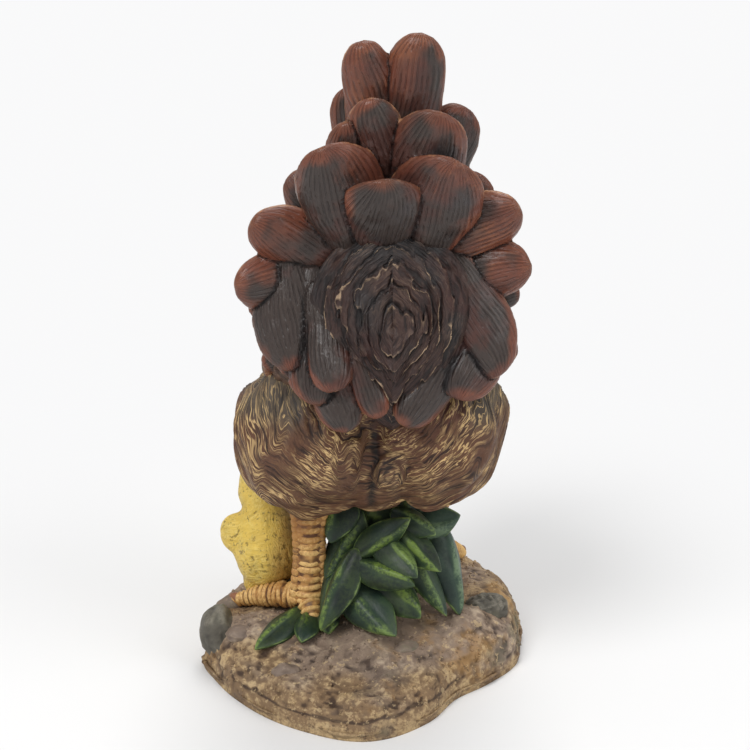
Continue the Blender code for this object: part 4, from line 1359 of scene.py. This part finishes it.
def build_ring_tree():
    w, given, result = new_group(
        "GeometryNodeTree", "ring_scales",
        (
            ("Geometry", "Geometry", None), ("Pitch", "Float", 0.0024), ("Swell", "Float", 1.06),
            ("Thick", "Float", 0.0017), ("Lean", "Float", 0.12), ("Seed", "Int", 1),
            ("Material", "Material", None),
        ),
        (("Geometry", "Geometry"),),
    )
    seed, lean = given["Seed"], given["Lean"]
    steps = w.node(
        "GeometryNodeResampleCurve", {"Curve": given["Geometry"], "Length": given["Pitch"]}, mode="LENGTH"
    )
    ring = w.node("GeometryNodeMeshUVSphere", {"Segments": RING_AROUND, "Rings": RING_BANDS, "Radius": 1.0})
    uneven = w.node("FunctionNodeRandomValue", {2: 0.96, 3: 1.05, "Seed": seed}).outputs[1]
    wide = w.times(w.node("GeometryNodeInputRadius").outputs[0], given["Swell"])
    wide = w.times(wide, uneven)
    size = w.node("ShaderNodeCombineXYZ", {"X": wide, "Y": wide, "Z": given["Thick"]})
    tangent = w.node("GeometryNodeInputTangent").outputs[0]
    upright = w.node("FunctionNodeAlignRotationToVector", {"Vector": tangent}, axis="Z")
    low, high = (
        w.node("ShaderNodeCombineXYZ", {"X": value, "Y": value}).outputs[0]
        for value in (w.times(lean, -1.0), lean)
    )
    tilt = w.node("FunctionNodeRandomValue", {0: low, 1: high, "Seed": seed}, data_type="FLOAT_VECTOR")
    turn = w.node(
        "FunctionNodeRotateRotation", {"Rotation": upright.outputs[0], "Rotate By": tilt.outputs[0]},
        rotation_space="LOCAL",
    )
    put = w.node("GeometryNodeInstanceOnPoints", {
        "Points": steps.outputs[0], "Instance": ring.outputs["Mesh"],
        "Rotation": turn.outputs[0], "Scale": size.outputs[0],
    })
    return finish_tree(w, result, put.outputs[0], given["Material"])


def gather_rings(meshes, name):
    """All rings in one mesh; relief runs from -1 near a ring's middle to 1 on its rim."""
    form = bmesh.new()
    for mesh in meshes:
        form.from_mesh(mesh)
        bpy.data.meshes.remove(mesh)
    bmesh.ops.recalc_face_normals(form, faces=form.faces)
    made = bpy.data.meshes.new(name)
    form.to_mesh(made)
    form.free()
    spots = read_vectors(made).reshape(-1, RING_POINTS, 3)
    out = np.linalg.norm(spots - spots.mean(axis=1, keepdims=True), axis=-1)
    relief = np.clip((out / out.max(axis=1, keepdims=True) - 0.88) * 9.0, -1.0, 1.0)
    made.attributes.new("relief", "FLOAT", "POINT").data.foreach_set("value", relief.ravel())
    return made


def speckled_skin(lump, grain, name, size=1.1, depth=0.2, sunk=0.0, rounds=2):
    """A lump's skin with small dents and grains all over."""
    skin = lump.skin(grain, rounds)
    dents = rough_noise(skin[0] / size, 2, 61)
    return carved(name, skin, depth * dents - depth * 0.5, relief=np.clip(1.5 * dents - sunk, -1.0, 1.0))


RING_TREE = build_ring_tree()
leg_core, claws, rings = Lump(), Lump(), []
for foot_number, ((x, y), top, toes) in enumerate(FEET):
    ankle = (x, y, float(earth_height(x, y)) + 5.0)
    shank = ((*top, BELLY_Z + 12.0), ((x + top[0]) / 2.0, (y + top[1]) / 2.0, 44.0), ankle)
    shank_radii = (LEG_RADIUS + 2.0, LEG_RADIUS - 0.4, LEG_RADIUS + 0.8)
    bones = [(shank, shank_radii, 0.0028, 1.05)]
    for aside_x, aside_y in COLUMNS:
        column = [
            (knot[0] + aside_x * radius / LEG_RADIUS, knot[1] + aside_y * radius / LEG_RADIUS, knot[2])
            for knot, radius in zip(shank, shank_radii)
        ]
        bones.append((column, (1.9, 1.7, 1.9), 0.0026, 1.0))
    for tip_x, tip_y in toes:
        middle_x, middle_y = x + (tip_x - x) * 0.55, y + (tip_y - y) * 0.55
        low = float(earth_height(tip_x, tip_y))
        middle = (middle_x, middle_y, float(earth_height(middle_x, middle_y)) + 3.4)
        toe_radii = (TOE_RADIUS + 1.2, TOE_RADIUS, TOE_RADIUS * 0.55)
        bones.append(((ankle, middle, (tip_x, tip_y, low + 0.5)), toe_radii, 0.0019, 1.05))
        way = unit(np.array((tip_x - x, tip_y - y, 0.0)))
        end = np.array((tip_x, tip_y, low)) + way * 3.2
        end = np.clip(end, np.array(CAD_BOX[0]) / MM + 1.0, np.array(CAD_BOX[1]) / MM - 1.0)
        start, bend = ((tip_x + way[0] * reach, tip_y + way[1] * reach, low + 1.2) for reach in (-2, 1))
        claws.limb((start, bend, tuple(end)), (2.3, 1.9, 0.5))
    for number, (knots, radii, pitch, swell) in enumerate(bones):
        leg_core.limb(knots, [radius * 0.94 for radius in radii])
        guide = bone(knots, radii, MM)
        rings.append(run_tree(
            guide, RING_TREE, "rings", pitch=pitch, swell=swell, thick=pitch * 0.8,
            lean=0.16, seed=foot_number * 10 + number, material=LEG_PAINT,
        ))
        bpy.data.objects.remove(guide, do_unlink=True)
place(gather_rings(rings, "leg_scales"), LEG_PAINT)
place(speckled_skin(leg_core, 0.85, "leg_cores", 1.6, 0.15, sunk=0.55), LEG_PAINT)
place(speckled_skin(claws, 0.35, "claws", 1.4, 0.1), CLAW_PAINT)

# %% [markdown]
# The chick's down is short. The carver pecked it all over with small tick marks, about a
# millimetre wide and two or three long, and a brown wash stayed in them.

# %% Chick
CHICK_X = -33.5
CHICK_Y = 7.0
CHICK_GROUND = EARTH_TOP - 2.0
CHICK_PAINT = painted(
    "chick_down_paint",
    ((132, 106, 48), (226, 192, 88), (246, 228, 148)),
    other=((98, 76, 36), (196, 160, 84), (226, 194, 112)),
    patches=(((176, 146, 66), 55.0, 0.52, 0.72, 0.5), ((116, 96, 48), 560.0, 0.56, 0.64, 0.75)),
    wash=0.8, brush=0.5, gloss=0.5, comb=(0.5, 1.4), comb_share=0.3, grain=0.35,
)
BEAK_PAINT = painted(
    "beak_paint", ((120, 76, 30), (206, 150, 62), (236, 196, 112)),
    wash=0.6, brush=0.5, gloss=0.4,
)
EYE_PAINT = painted(
    "eye_paint", ((8, 7, 7), (20, 16, 14), (60, 50, 44)),
    wash=0.5, brush=0.2, gloss=0.2, grain=0.05, coat=0.6,
)


def on_chick(right, forward, up):
    return (CHICK_X + right, CHICK_Y + forward, CHICK_GROUND + up)


def chick_skin():
    lump = Lump()
    lump.blob(on_chick(0.0, 0.0, 18.5), (13.0, 16.0, 16.5))
    lump.blob(on_chick(-9.5, -1.0, 22.0), (7.5, 7.5, 7.5))
    lump.blob(on_chick(-0.5, 4.0, 37.0), (10.0, 11.5, 13.5))
    lump.blob(on_chick(-4.0, -3.0, 5.0), (5.0, 5.0, 6.0))
    skin = lump.skin(0.6, 14)
    points = skin[0]
    x, y, z = points.T
    around = np.abs(np.arctan2(x - CHICK_X, -(y - CHICK_Y))) * 12.0
    lean = around + 0.5 * (x + z) + 1.2 * smooth_noise(points / 6.0, 71)
    ticks = smooth_noise(xyz(lean / 0.8, (z - 0.3 * around) / 1.9, 0.0), 73)
    marks = smooth_step(0.35, 0.8, -ticks)
    # Towards the right side and the bottom the chick is painted browner, with deeper, darker ticks: this is
    # painted shade.
    side = x + 0.2 * (CHICK_GROUND + 20.0 - z) + 2.5 * smooth_noise(points / 5.0, 77)
    painted_shade = smooth_step(CHICK_X - 6.0, CHICK_X + 11.0, side)
    push = -0.3 * marks * (0.4 + 0.6 * painted_shade) + 0.35 * smooth_noise(points / 4.5, 75)
    relief = np.clip(0.35 - 1.1 * marks * (0.5 + 0.5 * painted_shade), -1.0, 1.0)
    return carved("chick_body", skin, push, relief=relief, tone=painted_shade, across=lean, along=z)


place(chick_skin(), CHICK_PAINT)
chick_beak, chick_feet, chick_eyes = Lump(), Lump(), Lump()
bill = (on_chick(0.0, 13.0, 40.0), on_chick(0.0, 16.5, 39.8), on_chick(0.0, 19.0, 38.5))
chick_beak.limb(bill, (2.6, 1.9, 0.6))
for turn in (-1.0, 1.0):
    chick_eyes.blob(on_chick(turn * 7.6, 11.0, 41.0), (1.5, 1.7, 1.7))
    aside = turn * 5.0
    toe = (on_chick(aside, 6.0, 8.0), on_chick(aside, 11.0, 3.0), on_chick(aside, 14.0, 0.0))
    chick_feet.limb(toe, (3.0, 2.4, 2.0))
place(speckled_skin(chick_beak, 0.3, "chick_beak", 1.0, 0.08), BEAK_PAINT)
place(speckled_skin(chick_feet, 0.45, "chick_feet", 1.0, 0.12), LEG_PAINT)
place(speckled_skin(chick_eyes, 0.2, "chick_eyes", 1.0, 0.02, rounds=6), EYE_PAINT)

# %% [markdown]
# The plant's leaves are plump pointed blades. One side of each stands up beside its shallow midrib,
# and there the brush left a broad yellow-green stripe over the dark green ground. Three fallen
# leaves lie on the earth.

# %% Plant
LEAVES = (
    ((-3, -17, 43), (16.5, -18, 58), 10.5, 4, 2),
    ((-5, -8, 62), (-9.5, -15, 46), 13.5, 5, 1),
    ((0, -8, 57), (-11.5, -15, 33), 13.5, 4, 1),
    ((9, -11, 56), (24, -15, 48.5), 10, 4, 1.5),
    ((12, -4, 46), (33.5, -6, 53.5), 15, 5, 1),
    ((12, -14, 51), (24.5, -20, 37), 11.5, 4, 3.5),
    ((4, -15, 49), (18, -27, 37.5), 12, 4.5, 2.5),
    ((-4, -18, 40), (18, -28, 36), 10.5, 4.5, 1.5),
    ((16, -13, 43), (26.5, -19, 21), 9.5, 4, 2),
    ((25, -5, 49), (30.5, -12, 18.5), 13, 5, 2),
    ((5, -15, 34), (19, -24, 22), 13, 4.5, 1.5),
    ((-8, -13, 34), (11.5, -28.5, 17.5), 16.5, 5, 2.5),
    ((-1, -18, 46), (-12, -26, 19), 11, 5, 2),
    ((-7, -12, 42), (-12.5, -20, 20), 9.5, 4, 1),
    ((18, 0, 34), (20, 16, 52), 14, 4.5, 2),
    ((0, 0, 36), (-6, 14, 50), 14, 4.5, 2),
    ((9, 4, 38), (8, 22, 25), 14, 4.5, 2),
)
FALLEN_LEAVES = (
    ((-20, -14), (-36, -32), 10),
    ((-17.5, -16), (-20.5, -31), 9),
    ((-13, -13), (-11.5, -27), 9),
)
PLANT_FOOT = (8.0, -10.0)
LEAF_PAINT = painted(
    "leaf_paint",
    ((18, 29, 26), (44, 61, 44), (122, 146, 66)),
    other=((24, 37, 34), (56, 76, 64), (116, 138, 106)),
    rim=(74, 98, 54), rim_wide=0.6, rim_share=0.3, hair=(128, 150, 86),
    patches=(((32, 48, 44), 60.0, 0.5, 0.68, 0.6),), wash=0.95, brush=0.95, gloss=0.42,
)
plant = Sculpt()
x, y = PLANT_FOOT
for number, (root, tip, width, thick, curl) in enumerate(LEAVES):
    outward = -1.0 if tip[1] < y + 10.0 else 1.0
    facing = ((tip[0] - x) * 0.03, outward, 0.5)
    grey = 1.0 if number in (4, 9) else 0.45 * ((number * 0.618) % 1.0)
    petal = Petal(root, tip, facing, width, thick, 2.0, curl, True, seed=150 + number)
    blade(plant, petal, bulge=0.35, midrib=0.9, ragged=0.03, ragged_pitch=5.0, tone=grey)
place(plant.mesh("plant_leaves"), LEAF_PAINT)
stalks = Lump()
stalks.blob((x, y + 7.0, 42.0), (20.0, 8.0, 24.0))
place(speckled_skin(stalks, 0.9, "plant_heart", 3.0, 1.0), LEAF_PAINT)
fallen = Sculpt()
for number, (root, tip, width) in enumerate(FALLEN_LEAVES):
    start = (*root, float(earth_height(*root)) + 1.5)
    end = (*tip, float(earth_height(*tip)) + 0.8)
    petal = Petal(start, end, (0.0, -0.5, 1.0), width, 3.6, 0.8, 0.0, True, seed=180 + number)
    blade(fallen, petal, bulge=0.3, midrib=0.7, ragged=0.04, ragged_pitch=4.0, tone=0.1)
place(fallen.mesh("fallen_leaves"), LEAF_PAINT)

# %% [markdown]
# Comb and wattles are bare red skin with a fine grain, the beak is horn, and the eyes are two glossy
# drops. None of them shows in the photograph, but the ornament is looked at from all sides.

# %% Comb, wattles, beak and eyes
COMB_LOBES = ((-9, 9, 6), (-4, 12, 8), (2, 13, 8.5), (8, 11.5, 7), (12, 8, 4.5))
COMB_PAINT = painted(
    "comb_paint", ((86, 18, 16), (168, 42, 34), (214, 96, 76)),
    wash=0.8, brush=0.5, gloss=0.45,
)


def on_head(right, forward, up):
    return (HEN_X + right, HEAD_Y + forward, HEAD_Z + up)


comb, beak, eyes = Lump(), Lump(), Lump()
for lobe, (forward, up, tall) in enumerate(COMB_LOBES):
    comb.blob(on_head(0.0, forward, up), (2.6, 3.8, tall), 18.0 - 9.0 * lobe)
for turn in (-1.0, 1.0):
    comb.blob(on_head(turn * 4.5, 11.0, -12.0), (2.4, 4.2, 8.0), 8.0)
    comb.blob(on_head(turn * 10.6, -2.0, -5.0), (2.0, 3.2, 4.5))
    eyes.blob(on_head(turn * 10.4, 5.0, 2.0), (2.0, 2.8, 2.8))
beak.limb((on_head(0.0, 8.0, -1.0), on_head(0.0, 14.0, -2.0), on_head(0.0, 18.0, -5.0)), (5.0, 3.2, 1.0))
place(speckled_skin(comb, 0.45, "comb_and_wattles", 1.1, 0.25), COMB_PAINT)
place(speckled_skin(beak, 0.35, "hen_beak", 1.2, 0.1), BEAK_PAINT)
place(speckled_skin(eyes, 0.25, "hen_eyes", 1.5, 0.02, rounds=6), EYE_PAINT)

# %% [markdown]
# The ornament stands on a plain white floor in soft light, as in a photo tent: one broad lamp above
# and to the left of the camera, a weaker one on the right, one above and beyond the hen, and a soft
# sky all round. The sky and the far floor look bright white to the camera only, as an overexposed
# paper sweep does, while the floor near the mound is plain white paper and keeps its shadow.

# %% Floor and light
SEEN_WHITE = (0.95, 0.95, 0.955, 1.0)
LAMP_AIM = Vector((0.0, 0.0, 0.11))


def paper_white():
    """White paper near the object; further away the camera sees it bright all the way back."""
    material = bpy.data.materials.new("paper_white")
    material.use_nodes = True
    w = Wires(material.node_tree)
    shader = w.tree.nodes["Principled BSDF"]
    shader.inputs["Base Color"].default_value = (0.81, 0.81, 0.81, 1.0)
    shader.inputs["Roughness"].default_value = 0.9
    shader.inputs["Specular IOR Level"].default_value = 0.0
    glow = w.node("ShaderNodeEmission", {"Color": SEEN_WHITE})
    seen = w.node("ShaderNodeLightPath").outputs["Is Camera Ray"]
    spot = w.node("ShaderNodeTexCoord").outputs["Object"]
    far = w.node("ShaderNodeVectorMath", operation="LENGTH")
    w.plug(far.inputs[0], spot)
    share = w.times(w.step(far.outputs["Value"], 0.09, 0.3), seen)
    blend = w.node("ShaderNodeMixShader", {0: share, 1: shader.outputs[0], 2: glow.outputs[0]})
    w.plug(w.tree.nodes["Material Output"].inputs["Surface"], blend.outputs[0])
    return material


def soft_lamp(name, spot, size, power):
    light = bpy.data.lights.new(name, "AREA")
    light.shape = "DISK"
    light.size = size
    light.energy = power
    lamp = put_in_scene(name, light)
    lamp.location = spot
    lamp.rotation_euler = (LAMP_AIM - Vector(spot)).to_track_quat("-Z", "Y").to_euler()


floor_mesh = bpy.data.meshes.new("floor")
floor_mesh.from_pydata([(-8, -3, 0), (8, -3, 0), (8, 14, 0), (-8, 14, 0)], [], [(0, 1, 2, 3)])
floor_mesh.materials.append(paper_white())
put_in_scene("floor", floor_mesh)
soft_lamp("key_lamp", (-0.55, -0.75, 1.1), 0.7, 10.3)
soft_lamp("side_lamp", (0.9, -0.5, 0.7), 0.8, 4.1)
soft_lamp("top_lamp", (0.1, 0.5, 1.2), 0.7, 5.6)
print("lamps", [(name, round(light.energy, 1)) for name, light in bpy.data.lights.items()])
world = bpy.data.worlds.new("sky")
bpy.context.scene.world = world
world.use_nodes = True
w = Wires(world.node_tree)
sky = w.tree.nodes["Background"]
sky.inputs["Color"].default_value = (1.0, 1.0, 1.0, 1.0)
sky.inputs["Strength"].default_value = 0.47
seen_sky = w.node("ShaderNodeBackground", {"Color": SEEN_WHITE})
seen = w.node("ShaderNodeLightPath").outputs["Is Camera Ray"]
blend = w.node("ShaderNodeMixShader", {0: seen, 1: sky.outputs[0], 2: seen_sky.outputs[0]})
w.plug(w.tree.nodes["World Output"].inputs["Surface"], blend.outputs[0])
